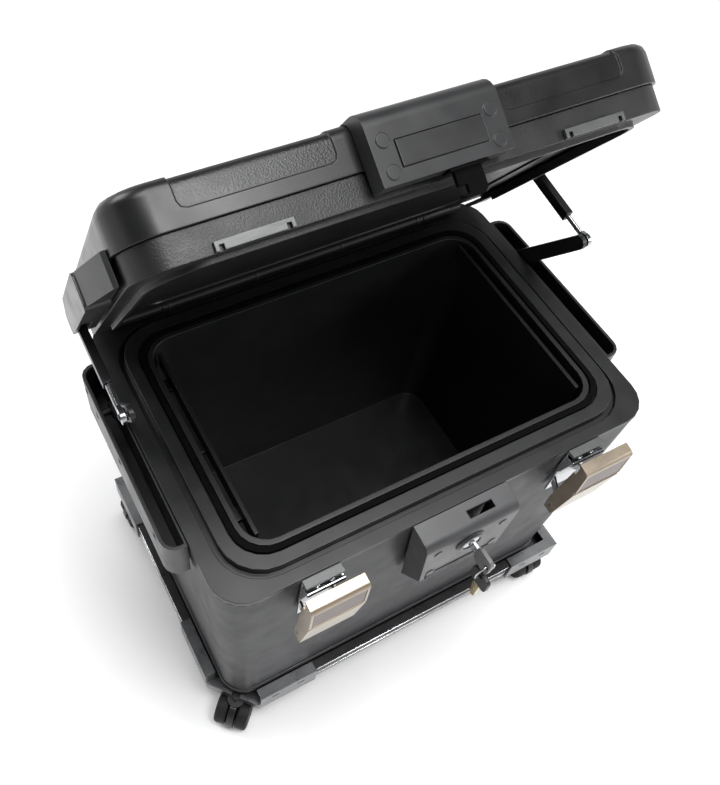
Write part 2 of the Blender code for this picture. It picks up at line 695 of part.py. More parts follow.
def build_arm(side, label, turn):
    """The arm that swings in the side channel, with a pin at its root and one at its elbow."""
    axis = pivot(f"stay_arm_{label}_axis", STAY_PIVOT, turn)
    inner, outer = ARM_X
    tip_y = STAY_PIVOT.y - STAY_ARM_LENGTH
    root_end = arc((STAY_PIVOT.y, STAY_PIVOT.z), ARM_ROOT_RADIUS, -90, 90, 6)
    tip_end = arc((tip_y, STAY_PIVOT.z), ARM_TIP_RADIUS, 90, 270, 6)
    arm_x = mirrored(side, inner, outer)
    arm = add(f"stay_arm_{label}", prism(root_end + tip_end, "yz", *arm_x), SHELL_BLACK, axis)
    rib_x = mirrored(side, outer - MM, outer + 1.6 * MM)
    rib_z = (STAY_PIVOT.z - 5 * MM, STAY_PIVOT.z + 5 * MM)
    for step in range(4):
        rib_y = tip_y + (9 + 4.5 * step) * MM
        join(arm, block(rib_x, (rib_y - MM, rib_y + MM), rib_z))
    for pin_y, radius, end_x in ((STAY_PIVOT.y, 3 * MM, 218.4 * MM), (tip_y, 2.2 * MM, 215 * MM)):
        length = end_x - inner - MM
        middle = side * (inner + MM + length / 2)
        join(arm, cylinder((middle, pin_y, STAY_PIVOT.z), (side, 0, 0), radius, length, 12))
    smooth(arm)


def build_strut(side, label, turn, length):
    """The strut under the lid lug: a bored body and the rod that slides in it."""
    axis = pivot(f"stay_body_{label}_axis", LUG_PIVOT, turn, LID)
    centre_x = side * sum(STRUT_X) / 2
    z = LUG_PIVOT.z
    eye = 4.8 * MM
    body_end = LUG_PIVOT.y - STRUT_LENGTH
    outline = arc((LUG_PIVOT.y, z), eye, -90, 90, 6)
    outline += [(body_end, z + eye), (body_end, z - eye)]
    body = add(f"stay_body_{label}", prism(outline, "yz", *mirrored(side, *STRUT_X)), RAIL_BLACK, axis)
    cut(body, cylinder((centre_x, LUG_PIVOT.y, z), (1, 0, 0), 2.9 * MM, 12 * MM, 12))
    bore_length = 38 * MM
    bore_centre = (centre_x, body_end + bore_length / 2 - MM, z)
    cut(body, cylinder(bore_centre, (0, 1, 0), STRUT_BORE_RADIUS, bore_length, 12))
    smooth(body)

    tip_y = LUG_PIVOT.y - length
    eye_end = tip_y + 8 * MM
    eye_outline = arc((tip_y, z), 6 * MM, 60, 300, 8)
    eye_outline += [(eye_end, z - 3 * MM), (eye_end, z + 3 * MM)]
    eye_x = mirrored(side, 210.3 * MM, 213.9 * MM)
    rod = add(f"stay_rod_{label}", prism(eye_outline, "yz", *eye_x), CHROME, axis)
    shank_start = tip_y + 6.5 * MM
    shank_end = body_end + 24 * MM
    shank_centre = (centre_x, (shank_start + shank_end) / 2, z)
    join(rod, cylinder(shank_centre, (0, 1, 0), ROD_RADIUS, shank_end - shank_start, 12))
    cut(rod, cylinder((centre_x, tip_y, z), (1, 0, 0), 3 * MM, 12 * MM, 12))
    smooth(rod)


def build_lug(side, label):
    """The lug on the side of the lid that holds the strut, faired forward to the corner."""
    bottom = RIM_Z + 0.9 * MM
    top = RIM_Z + LUG_TOP
    front = -72 * MM
    back = 54 * MM
    inner = HALF_X + 0.4 * MM
    outer = 218.5 * MM
    profile = [(front, bottom), (back, bottom), (back, bottom + 15 * MM), (30 * MM, top), (front, top)]
    lug_shape = prism(rounded(profile, 4.5 * MM), "yz", *mirrored(side, inner, outer))
    lug = add(f"lid_lug_{label}", lug_shape, TRIM_GREY, LID)
    fairing = [
        (side * inner, front + 6 * MM),
        (side * (outer - MM), front + 6 * MM),
        (side * (outer - 2 * MM), front - 4 * MM),
        (side * (inner + 3 * MM), front - 42 * MM),
        (side * inner, front - 44 * MM),
    ]
    join(lug, prism(fairing, "xy", bottom + 2 * MM, top - MM))
    slot_x = mirrored(side, 208.3 * MM, 215.9 * MM)
    cut(lug, block(slot_x, (0, 60 * MM), (bottom - MM, bottom + 12 * MM)))
    pin_centre = (side * 212.1 * MM, LUG_PIVOT.y, LUG_PIVOT.z)
    join(lug, cylinder(pin_centre, (1, 0, 0), 2.4 * MM, 9 * MM, 12))
    smooth(lug)


# ---------------------------------------------------------------- latches
def build_latch_base(centre_x, label):
    """The plate on the wall with the tab at the rim, a riveted shelf and the ears of the lever pin."""
    wall_y = FRONT_Y - GAP
    plate_y = wall_y - 1.7 * MM
    sides = (centre_x - LATCH_PLATE_HALF, centre_x + LATCH_PLATE_HALF)
    plate = block(sides, (plate_y, wall_y), (RIM_Z - 66 * MM, RIM_Z - MM))
    base = add(f"latch_base_{label}", plate, CHROME)
    tab_edge = -150 * MM
    join(base, block(sides, (tab_edge, wall_y - 0.5 * MM), (RIM_Z - 3 * MM, RIM_Z - 0.4 * MM)))

    shelf_edge = -151.5 * MM
    shelf_z = (RIM_Z - 9.6 * MM, RIM_Z - 8 * MM)
    join(base, block(sides, (shelf_edge, wall_y - 0.5 * MM), shelf_z))
    roll_centre = (centre_x, shelf_edge, sum(shelf_z) / 2)
    join(base, cylinder(roll_centre, (1, 0, 0), 1.8 * MM, 2 * LATCH_PLATE_HALF, 12))
    cheek_outline = [
        (wall_y - MM, shelf_z[1] - 0.5 * MM),
        (shelf_edge, shelf_z[1] - 0.5 * MM),
        (plate_y - 2 * MM, RIM_Z - 30 * MM),
        (wall_y - MM, RIM_Z - 34 * MM),
    ]
    pin_y, pin_z = LATCH_PIN
    ear = 3.2 * MM
    ear_root = pin_z + plate_y - pin_y
    ear_outline = [
        *arc((pin_y, pin_z), ear, 135, 315, 8),
        (wall_y - MM, ear_root - 4.5 * MM),
        (wall_y - MM, ear_root + 4.5 * MM),
    ]
    for end in (-1, 1):
        cheek_x = centre_x + end * (LATCH_PLATE_HALF - 0.8 * MM)
        join(base, prism(cheek_outline, "yz", cheek_x - 0.8 * MM, cheek_x + 0.8 * MM))
        ear_x = centre_x + end * 14 * MM
        join(base, prism(ear_outline, "yz", ear_x - MM, ear_x + MM))
        rivet_centre = (centre_x + end * 6 * MM, -147.4 * MM, shelf_z[1] + 0.5 * MM)
        join(base, cylinder(rivet_centre, (0, 0, 1), 2.7 * MM, 1.6 * MM, 12, 1.7 * MM))
    pin_length = 2 * LATCH_HALF_WIDTH - MM
    join(base, cylinder((centre_x, pin_y, pin_z), (1, 0, 0), LATCH_PIN_RADIUS, pin_length, 10))
    smooth(base)


def build_latch(side, label):
    """A snap latch: its lever turns on a low pin, and its top lip snaps over the strike plate."""
    centre_x = side * LATCH_X
    build_latch_base(centre_x, label)
    pin_y, pin_z = LATCH_PIN
    axis = pivot(f"latch_{label}_axis", Vector((centre_x, pin_y, pin_z)))
    outline = [
        *arc((LEVER_TOP_FRONT[0] + 4 * MM, LEVER_TOP_FRONT[1] - 4 * MM), 4 * MM, 90, 180, 3),
        LEVER_KNEE,
        LEVER_FOOT_FRONT,
        (LEVER_FOOT_BACK_Y, LEVER_FOOT_FRONT[1]),
        (LEVER_FOOT_BACK_Y, pin_z + 8 * MM),
        LEVER_TOP_BACK,
    ]
    half = LATCH_HALF_WIDTH
    lever_shape = prism(outline, "yz", centre_x - half, centre_x + half)
    lever = add(f"latch_lever_{label}", lever_shape, CHAMPAGNE, axis)
    top_inside = LEVER_TOP_BACK[1] - LEVER_SIDE_WALL
    foot_inside = LEVER_FOOT_FRONT[1] + LEVER_SIDE_WALL
    hollow = [
        (LEVER_TOP_FRONT[0] + LEVER_FRONT_WALL, top_inside - MM),
        (LEVER_KNEE[0] + LEVER_FRONT_WALL, LEVER_KNEE[1]),
        (LEVER_FOOT_FRONT[0] + LEVER_FRONT_WALL, foot_inside),
        (LEVER_FOOT_BACK_Y + 2 * MM, foot_inside),
        (LEVER_FOOT_BACK_Y + 2 * MM, top_inside),
    ]
    inside = half - LEVER_SIDE_WALL
    cut(lever, prism(hollow, "yz", centre_x - inside, centre_x + inside))
    notch_sides = (centre_x - half - MM, centre_x + half + MM)
    cut(lever, block(notch_sides, (-162.4 * MM, -150 * MM), (RIM_Z - 2 * MM, RIM_Z + 9.4 * MM)))
    pin_hole = cylinder((centre_x, pin_y, pin_z), (1, 0, 0), LATCH_PIN_HOLE, 3 * half, 10)
    cut(lever, pin_hole)
    face_y = LEVER_KNEE[0]
    groove_y = (face_y - MM, face_y + 1.2 * MM)
    cut(lever, block(notch_sides, groove_y, (RIM_Z - 24 * MM, RIM_Z - 20 * MM)))
    pocket_half = half - 2.2 * MM
    pocket_y = (face_y - MM, face_y + 1.8 * MM)
    pocket_z = (RIM_Z - 19.5 * MM, RIM_Z + 5.6 * MM)
    cut(lever, block((centre_x - pocket_half, centre_x + pocket_half), pocket_y, pocket_z))
    smooth(lever)

    insert_half = pocket_half - GAP
    insert_shape = bevelled_block(
        (centre_x - insert_half, centre_x + insert_half),
        (face_y + 0.3 * MM, pocket_y[1] - GAP),
        (pocket_z[0] + GAP, pocket_z[1] - GAP),
        0.3 * MM,
        1,
    )
    add(f"latch_insert_{label}", insert_shape, INSERT, axis)


# ---------------------------------------------------------------- lock
def build_lock():
    """The lock housing with the slot for the hasp, the keyed cylinder and the sliding bolt."""
    wall_y = FRONT_Y - GAP
    top = RIM_Z - 0.8 * MM
    corner = 8 * MM
    shoulder = arc((LOCK_FACE_Y + corner, RIM_Z - 11 * MM), corner, 90, 180, 4)
    profile = [(wall_y, top), *shoulder, (LOCK_FACE_Y, RIM_Z - 68 * MM), (wall_y, RIM_Z - 103 * MM)]
    housing = add("lock_housing", prism(profile, "yz", -44 * MM, 44 * MM), LOCK_GREY)
    for vert in housing.data.vertices:
        vert.co.x *= 1 - 0.2 * max(0, RIM_Z - 11 * MM - vert.co.z) / (92 * MM)
    cavity = [
        (wall_y + MM, RIM_Z - 5.5 * MM),
        (LOCK_FACE_Y + 4 * MM, RIM_Z - 5.5 * MM),
        (LOCK_FACE_Y + 4 * MM, RIM_Z - 62 * MM),
        (wall_y + MM, RIM_Z - 88 * MM),
    ]
    cut(housing, prism(cavity, "yz", -32 * MM, 32 * MM))
    slot = block(
        (SLOT_X - 12 * MM, SLOT_X + 12 * MM),
        (FRONT_Y - 14 * MM, FRONT_Y - 7.3 * MM),
        (RIM_Z - 10 * MM, RIM_Z + MM),
    )
    cut(housing, slot)
    lock_centre = Vector((0, LOCK_FACE_Y, LOCK_AXIS_Z))
    cut(housing, cylinder(lock_centre, (0, 1, 0), 8.1 * MM, 14 * MM))
    for boss_x in (-31 * MM, 31 * MM):
        for boss_z in (RIM_Z - 20 * MM, RIM_Z - 56 * MM):
            boss = cylinder((boss_x, LOCK_FACE_Y, boss_z), (0, -1, 0), 4.4 * MM, 1.6 * MM, 14, 3.8 * MM)
            join(housing, boss)
    smooth(housing)

    ring_y = LOCK_FACE_Y - GAP
    escutcheon = add(
        "lock_escutcheon",
        cylinder((0, ring_y - 1.2 * MM, LOCK_AXIS_Z), (0, -1, 0), 13.5 * MM, 2.4 * MM, 24, 11.5 * MM),
        CHROME,
    )
    cut(escutcheon, cylinder(lock_centre, (0, 1, 0), 8.3 * MM, 14 * MM))
    smooth(escutcheon)

    axis = pivot("lock_cylinder_axis", Vector((0, LOCK_FACE_Y, LOCK_AXIS_Z)))
    plug_back = FRONT_Y - 5 * MM
    plug_front = LOCK_FACE_Y - 2 * MM
    plug_middle = (plug_back + plug_front) / 2
    plug = add(
        "lock_cylinder",
        cylinder((0, plug_middle, LOCK_AXIS_Z), (0, 1, 0), 7.7 * MM, plug_back - plug_front),
        CHROME,
        axis,
    )
    keyway = block(
        (-1.4 * MM, 1.4 * MM),
        (plug_front - MM, plug_back - 2 * MM),
        (LOCK_AXIS_Z - 4.2 * MM, LOCK_AXIS_Z + 4.2 * MM),
    )
    cut(plug, keyway)
    smooth(plug)

    bolt_y = (FRONT_Y - 13 * MM, FRONT_Y - 8.2 * MM)
    bolt_shape = block((-24 * MM, SLOT_X - 11 * MM), bolt_y, (RIM_Z - 12.6 * MM, RIM_Z - 8.4 * MM))
    bolt = add("lock_bolt", bolt_shape, STEEL)
    join(bolt, block((-24 * MM, -16 * MM), bolt_y, (RIM_Z - 34 * MM, RIM_Z - 9 * MM)))

    build_keys(axis, plug_front)


def build_keys(plug_axis, plug_front):
    """The key in the lock, the ring through its head and the spare key that hangs from it."""
    head_half = 9 * MM
    head_thickness = 3.2 * MM
    blade_half = MM
    key_z = LOCK_AXIS_Z
    neck_y = plug_front - 8 * MM
    head_y = neck_y - head_half
    head = rounded(
        [
            (head_y - head_half, key_z - 10 * MM),
            (head_y + head_half, key_z - 10 * MM),
            (head_y + head_half, key_z + 10 * MM),
            (head_y - head_half, key_z + 10 * MM),
        ],
        4 * MM,
    )
    key_axis = pivot("key_axis", Vector((0, head_y, key_z)), 0.0, plug_axis)
    key = add("key", prism(head, "yz", -head_thickness / 2, head_thickness / 2), STEEL, key_axis)
    neck_length = (neck_y - 2 * MM, plug_front - GAP)
    neck = block((-1.2 * MM, 1.2 * MM), neck_length, (key_z - 5 * MM, key_z + 5 * MM))
    join(key, neck)
    blade_tip = plug_front + 15.5 * MM
    teeth = [
        (neck_y, key_z - 3.7 * MM),
        (neck_y, key_z + 3.7 * MM),
        (blade_tip - 2 * MM, key_z + 3.7 * MM),
        (blade_tip, key_z),
        (blade_tip - 3 * MM, key_z - 2 * MM),
        (blade_tip - 5 * MM, key_z - 3.4 * MM),
        (blade_tip - 7.5 * MM, key_z - 1.6 * MM),
        (blade_tip - 10 * MM, key_z - 3 * MM),
    ]
    join(key, prism(teeth, "yz", -blade_half, blade_half))
    eye = Vector((0, head_y - 5.5 * MM, key_z))
    cut(key, cylinder(eye, (1, 0, 0), 2.3 * MM, 10 * MM, 12))
    smooth(key)

    ring_radius = 9 * MM
    wire = 0.9 * MM
    ring_axis = pivot("key_ring_axis", eye, 0.0, key_axis)
    ring_centre = eye - Vector((0, 0, ring_radius))
    ring_mesh = torus(ring_centre, ring_radius, wire)
    smooth(add("key_ring", ring_mesh, CHROME, ring_axis), 60)

    spare_eye = ring_centre - Vector((0, 0, ring_radius))
    spare_axis = pivot("spare_key_axis", spare_eye, 0.0, ring_axis)
    spare_z = spare_eye.z - 5.5 * MM
    spare_head = rounded(
        [
            (eye.y - 10 * MM, spare_z - head_half),
            (eye.y + 10 * MM, spare_z - head_half),
            (eye.y + 10 * MM, spare_z + head_half),
            (eye.y - 10 * MM, spare_z + head_half),
        ],
        4 * MM,
    )
    spare_shape = prism(spare_head, "yz", -head_thickness / 2, head_thickness / 2)
    spare = add("spare_key", spare_shape, STEEL, spare_axis)
    tip_z = spare_z - head_half - 23 * MM
    spare_teeth = [
        (eye.y - 3.7 * MM, spare_z - head_half + 2 * MM),
        (eye.y - 3.7 * MM, tip_z + 2 * MM),
        (eye.y, tip_z),
        (eye.y + 2 * MM, tip_z + 3 * MM),
        (eye.y + 3.4 * MM, tip_z + 5 * MM),
        (eye.y + 1.6 * MM, tip_z + 7.5 * MM),
        (eye.y + 3.7 * MM, tip_z + 11 * MM),
        (eye.y + 3.7 * MM, spare_z - head_half + 2 * MM),
    ]
    join(spare, prism(spare_teeth, "yz", -blade_half, blade_half))
    cut(spare, cylinder(spare_eye, (1, 0, 0), 2.3 * MM, 10 * MM, 12))
    smooth(spare)


def torus(centre, radius, wire):
    """A closed ring of round wire standing in the XZ plane."""
    curve = bpy.data.curves.new("ring", "CURVE")
    curve.dimensions = "3D"
    curve.bevel_depth = wire
    curve.bevel_resolution = 1
    spline = curve.splines.new("POLY")
    steps = 24
    spline.points.add(steps - 1)
    for index, point in enumerate(spline.points):
        angle = math.tau * index / steps
        point.co = (centre.x + radius * math.cos(angle), centre.y, centre.z + radius * math.sin(angle), 1)
    spline.use_cyclic_u = True
    holder = bpy.data.objects.new("ring", curve)
    work = bmesh.new()
    work.from_mesh(bpy.data.meshes.new_from_object(holder))
    bpy.data.objects.remove(holder)
    bmesh.ops.remove_doubles(work, verts=work.verts, dist=0.00001)
    return to_mesh(work)


# ---------------------------------------------------------------- cart
def rail_ends(along_x, side):
    """The two ends of a rail: short of a cut corner, and through or up to a square one."""
    ends = []
    for corner_x, corner_y, _, has_cut, _ in CORNERS:
        if side != (corner_y if along_x else corner_x):
            continue
        end = corner_x if along_x else corner_y
        if has_cut:
            reach = CART_HALF_X - CORNER_CUT_X - MM if along_x else CART_HALF_Y - CORNER_CUT_Y - MM
        else:
            reach = CART_HALF_X if along_x else CART_HALF_Y - RAIL_DEPTH - SHELF_DEPTH - GAP
        ends.append(end * reach)
    return tuple(sorted(ends))


def rail_bar(along_x, side, ends, across_range, z_range):
    """A bar along one side of the cart, between distances from the middle of the box."""
    across = mirrored(side, *across_range)
    return block(ends, across, z_range) if along_x else block(across, ends, z_range)


def build_cart():
    """Four rails with a shelf inside for the box to stand on and two grooves outside."""
    shelf_top = BASE_BOTTOM_Z - GAP
    shelf_z = (shelf_top - SHELF_THICKNESS, shelf_top)
    rail_z = (CART_BOTTOM_Z, CART_TOP_Z)
    for along_x, side, name in (
        (True, -1, "cart_rail_front"),
        (True, 1, "cart_rail_back"),
        (False, -1, "cart_rail_left"),
        (False, 1, "cart_rail_right"),
    ):
        outer = CART_HALF_Y if along_x else CART_HALF_X
        ends = rail_ends(along_x, side)
        rail_range = (outer - RAIL_DEPTH, outer)
        rail = add(name, rail_bar(along_x, side, ends, rail_range, rail_z), CART_BLACK)
        shelf_range = (outer - RAIL_DEPTH - SHELF_DEPTH, outer - MM)
        join(rail, rail_bar(along_x, side, ends, shelf_range, shelf_z))
        through = (ends[0] - MM, ends[1] + MM)
        for height in RAIL_GROOVE_HEIGHTS:
            groove_z = CART_BOTTOM_Z + height
            groove_range = (groove_z - RAIL_GROOVE_HALF, groove_z + RAIL_GROOVE_HALF)
            cut(rail, rail_bar(along_x, side, through, (outer - RAIL_GROOVE_DEPTH, outer + MM), groove_range))
    for side_x, side_y, label, has_cut, heading in CORNERS:
        build_corner(side_x, side_y, label, has_cut)
        build_caster(side_x, side_y, label, heading)


def build_corner(side_x, side_y, label, has_cut):
    """A bent corner bracket round the ends of two rails, with the caster seat under them."""
    inner_x = CART_HALF_X + GAP
    inner_y = CART_HALF_Y + GAP
    outer_x = inner_x + BRACKET_SKIN
    outer_y = inner_y + BRACKET_SKIN
    cut_x = CORNER_CUT_X if has_cut else 0
    cut_y = CORNER_CUT_Y if has_cut else 0
    thicken = BRACKET_SKIN * 0.4 if has_cut else 0
    end_x = inner_x - cut_x - BRACKET_LEG
    end_y = inner_y - cut_y - BRACKET_LEG
    strip = [
        (outer_x, end_y),
        (outer_x, outer_y - cut_y + thicken),
        (outer_x - cut_x + thicken, outer_y),
        (end_x, outer_y),
        (end_x, inner_y),
        (inner_x - cut_x, inner_y),
        (inner_x, inner_y - cut_y),
        (inner_x, end_y),
    ]
    seat_reach = 18 * MM if has_cut else 62 * MM
    half_mm = 0.5 * MM
    seat = [
        (inner_x + MM, inner_y - cut_y - seat_reach),
        (inner_x + MM, inner_y - cut_y + half_mm),
        (inner_x - cut_x + half_mm, inner_y + MM),
        (inner_x - cut_x - seat_reach, inner_y + MM),
        (inner_x - cut_x - seat_reach, inner_y - cut_y - seat_reach),
    ]
    if not has_cut:
        strip[1:3] = [(outer_x, outer_y)]
        strip[4:6] = [(inner_x, inner_y)]
        seat[1:3] = [(inner_x + MM, inner_y + MM)]
    bracket_bottom = CART_BOTTOM_Z - 4 * MM
    bracket_top = CART_TOP_Z + GAP + BRACKET_SKIN
    outline = [(side_x * x, side_y * y) for x, y in strip]
    bracket_shape = prism(outline, "xy", bracket_bottom, bracket_top)
    bracket = add(f"cart_bracket_{label}", bracket_shape, BRACKET_GREY)
    seat_outline = [(side_x * x, side_y * y) for x, y in seat]
    join(bracket, prism(seat_outline, "xy", bracket_bottom + GAP, CART_BOTTOM_Z - GAP))
    if has_cut:
        over_x = mirrored(side_x, inner_x - cut_x + MM, outer_x + MM)
        over_y = mirrored(side_y, inner_y - cut_y + MM, outer_y + MM)
        cut(bracket, block(over_x, over_y, (BASE_BOTTOM_Z - 2 * MM, bracket_top + MM)))
    cap_z = (CART_TOP_Z + GAP, bracket_top - 0.1 * MM)
    cap_depth = RAIL_DEPTH - half_mm
    cap_x = mirrored(side_x, end_x + half_mm, inner_x - cut_x + half_mm)
    cap_y = mirrored(side_y, end_y + half_mm, inner_y - cut_y + half_mm)
    join(bracket, block(cap_x, mirrored(side_y, inner_y - cap_depth, inner_y + MM), cap_z))
    join(bracket, block(mirrored(side_x, inner_x - cap_depth, inner_x + MM), cap_y, cap_z))
    stem_hole = (side_x * CASTER_X, side_y * CASTER_Y, CART_BOTTOM_Z)
    cut(bracket, cylinder(stem_hole, (0, 0, 1), 4.4 * MM, 20 * MM, 14))
    slot_z = (CART_TOP_Z - 10 * MM, CART_TOP_Z - 6.5 * MM)
    through_x = mirrored(side_x, inner_x - MM, outer_x + MM)
    through_y = mirrored(side_y, inner_y - MM, outer_y + MM)
    for along in (16 * MM, 44 * MM):
        slot_x = side_x * (inner_x - cut_x - along)
        slot_y = side_y * (inner_y - cut_y - along)
        cut(bracket, block((slot_x - 4 * MM, slot_x + 4 * MM), through_y, slot_z))
        cut(bracket, block(through_x, (slot_y - 4 * MM, slot_y + 4 * MM), slot_z))


def wheel(centre, radius, width):
    """A wheel on an X axis with soft edges on its tread."""
    work = bmesh.new()
    work.from_mesh(cylinder((0, 0, 0), (0, 0, 1), radius, width, 24))
    rim = [edge for edge in work.edges if abs(edge.verts[0].co.z - edge.verts[1].co.z) < width / 2]
    bmesh.ops.bevel(work, geom=rim, offset=2.6 * MM, segments=2, profile=0.5, affect="EDGES")
    work.transform(Matrix.Translation(centre) @ Matrix.Rotation(math.pi / 2, 4, "Y"))
    return to_mesh(work)


def build_caster(side_x, side_y, label, heading):
    """A twin-wheel caster, modelled trailing to the front and turned to its heading in degrees."""
    swivel_x = side_x * CASTER_X
    swivel_y = side_y * CASTER_Y
    swivel_origin = Vector((swivel_x, swivel_y, CART_BOTTOM_Z))
    swivel = pivot(f"caster_{label}_axis", swivel_origin, heading=math.radians(heading))
    axle_y = swivel_y - CASTER_TRAIL
    axle_centre = Vector((swivel_x, axle_y, WHEEL_RADIUS))
    hood_top = CART_BOTTOM_Z - 5 * MM
    hood_half = 3.5 * MM
    hood_radius = WHEEL_RADIUS + 1.2 * MM
    hood_outline = arc((axle_y, WHEEL_RADIUS), hood_radius, 0, 210, 10)
    hood_outline += arc((axle_y, WHEEL_RADIUS), 6 * MM, 240, 330, 4)
    hood_shape = prism(hood_outline, "yz", swivel_x - hood_half, swivel_x + hood_half)
    fork = add(f"caster_fork_{label}", hood_shape, TYRE, swivel)
    stem_length = 17 * MM
    stem_centre = (swivel_x, swivel_y, CART_BOTTOM_Z + 5 * MM - stem_length / 2)
    join(fork, cylinder(stem_centre, (0, 0, 1), 4 * MM, stem_length, 14))
    collar_bottom = 2 * WHEEL_RADIUS + 0.6 * MM
    collar_centre = (swivel_x, swivel_y, (collar_bottom + hood_top) / 2)
    join(fork, cylinder(collar_centre, (0, 0, 1), 9 * MM, hood_top - collar_bottom, 18))
    cut(fork, cylinder(axle_centre, (1, 0, 0), 2.8 * MM, 20 * MM, 12))
    smooth(fork)

    axle = pivot(f"caster_{label}_axle", axle_centre, 0.0, swivel)
    offset = Vector(((WHEEL_GAP + WHEEL_WIDTH) / 2, 0, 0))
    wheels = add(f"caster_wheels_{label}", wheel(axle_centre - offset, WHEEL_RADIUS, WHEEL_WIDTH), TYRE, axle)
    join(wheels, wheel(axle_centre + offset, WHEEL_RADIUS, WHEEL_WIDTH))
    join(wheels, cylinder(axle_centre, (1, 0, 0), 2.4 * MM, 2 * offset.x, 12))
    smooth(wheels)


build_base()
build_liner()
build_file_rails()
build_side_channels()
build_lid_frame()
build_lid_cover()
build_lid_inside()
build_name_block()
build_hasp()
build_strikes()
build_hinge()
build_stays()
for latch_side, latch_label in ((-1, "left"), (1, "right")):
    build_latch(latch_side, latch_label)
build_lock()
build_cart()
bpy.context.view_layer.update()
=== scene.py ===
"""The looks of a wheeled fireproof document box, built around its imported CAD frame."""

import json
import math

import bmesh
import bpy
from mathutils import Matrix, Vector

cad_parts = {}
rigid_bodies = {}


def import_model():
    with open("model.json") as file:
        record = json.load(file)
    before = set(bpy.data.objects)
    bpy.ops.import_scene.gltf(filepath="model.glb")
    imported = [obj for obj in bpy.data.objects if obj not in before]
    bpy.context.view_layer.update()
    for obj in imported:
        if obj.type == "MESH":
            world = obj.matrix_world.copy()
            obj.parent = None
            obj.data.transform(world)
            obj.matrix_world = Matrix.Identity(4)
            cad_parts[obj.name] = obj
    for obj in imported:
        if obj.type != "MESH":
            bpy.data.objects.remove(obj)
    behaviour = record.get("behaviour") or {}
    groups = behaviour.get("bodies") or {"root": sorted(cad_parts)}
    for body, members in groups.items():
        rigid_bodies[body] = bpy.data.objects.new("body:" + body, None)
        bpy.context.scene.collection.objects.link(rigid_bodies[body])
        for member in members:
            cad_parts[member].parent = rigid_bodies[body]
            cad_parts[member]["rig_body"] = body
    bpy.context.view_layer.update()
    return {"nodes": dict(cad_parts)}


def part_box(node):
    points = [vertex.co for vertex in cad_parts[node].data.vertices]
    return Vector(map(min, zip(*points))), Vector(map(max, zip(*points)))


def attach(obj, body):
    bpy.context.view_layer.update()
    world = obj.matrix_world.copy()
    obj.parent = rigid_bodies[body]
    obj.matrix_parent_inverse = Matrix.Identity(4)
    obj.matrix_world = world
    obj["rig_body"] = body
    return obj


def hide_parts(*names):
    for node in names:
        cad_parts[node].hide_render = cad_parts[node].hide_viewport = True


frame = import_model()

NODES = frame["nodes"]
MM = 0.001

# ------------------------------------------------ sizes that the pieces share with the CAD
RIM_Z = 345 * MM
LID_OPEN_ANGLE = math.radians(56)
HINGE = Vector((0, 130 * MM, 352 * MM))
PANEL_X = (60 * MM, 160 * MM)
PANEL_BOTTOM_Z = 375 * MM
PANEL_BACK_Y = 111 * MM
SHELL_HALF = (200.4 * MM, 141.4 * MM)
SHELL_TAPER = 9.5 * MM
SHELL_Z = (55 * MM, 339.7 * MM)
RIM_HALF = (201 * MM, 142 * MM)
OUTER_RADIUS = 28 * MM
FOOT_RADIUS = 26 * MM
FOOT_BEAD_Z = 72.3 * MM
FOOT_BEAD_RADIUS = 1.9 * MM
LOCK_FACE_Y = -165 * MM
KEY_HEAD_Y = -177 * MM
SPARE_KEY_EYE = Vector((0, -189.5 * MM, 302 * MM))
SPARE_HEAD_REACH = 18 * MM
LATCH_TAB_Z = RIM_Z - 4 * MM
# Each bracket: its sides in x and y, its name, and how much of each leg is cut off at the corner.
BRACKETS = (
    (-1, -1, "front_left", 38 * MM, 44 * MM),
    (1, -1, "front_right", 0, 0),
    (-1, 1, "back_left", 0, 0),
    (1, 1, "back_right", 38 * MM, 44 * MM),
)
# The inner faces of the brackets' legs, and the two slots in each leg.
BRACKET_INNER = (203.8 * MM, 144.3 * MM)
SLOT_Z = (57.1 * MM, 60.4 * MM)
SLOT_PLACES = (16 * MM, 44 * MM)
SLOT_HALF = 3.9 * MM
RAIL_GROOVE_Z = 50 * MM
CHANNEL_FACE_X = 219.05 * MM
CHANNEL_SCREWS = (-58 * MM, 12 * MM, 86 * MM)
CHANNEL_SCREW_Z = 333 * MM
COLLARS_X = (-128 * MM, -44 * MM, 44 * MM, 128 * MM)

# ------------------------------------------------ camera and studio
CAMERA_PLACE = Vector((-0.2773, -0.3215, 0.9092))
CAMERA_HEADING = math.radians(36.066)
CAMERA_PITCH = math.radians(-55.872)
CAMERA_ROLL = math.radians(8.849)
CAMERA_LENS = 37.878
CAMERA_SHIFT = (0.0484, 0.0106)
FLOOR_HALF = 30
FLOOR_WHITE = (0.92, 0.92, 0.925, 1)
HORIZON_STRENGTH = 0.8
ZENITH_STRENGTH = 0.1
# The dome fades between these heights, from 0 at the horizon to 1 overhead.
FADE_HEIGHTS = (0.2, 0.55)
SUN_STRENGTH = 2.5
SUN_SPREAD = math.radians(40)
SUN_FROM = (0.12, 0.02, 1)
# Each soft lamp: its name, place, target, width and power.
LAMPS = (
    ("key", (0.2, -0.62, 1.85), (0, 0, 0.5), 0.5, 9),
    ("back", (-0.9, 1.2, 1.5), (0, 0, 0.35), 0.8, 12),
    ("right", (1.7, -1.0, 1.1), (0, 0, 0.25), 0.8, 18),
)


def link(obj):
    """Puts an object in the scene."""
    bpy.context.scene.collection.objects.link(obj)
    return obj


def aimed(obj, ahead, axis):
    """Turns an object so that the named axis of its own looks ahead."""
    obj.rotation_mode = "QUATERNION"
    obj.rotation_quaternion = Vector(ahead).to_track_quat(axis, "Y")
    return obj


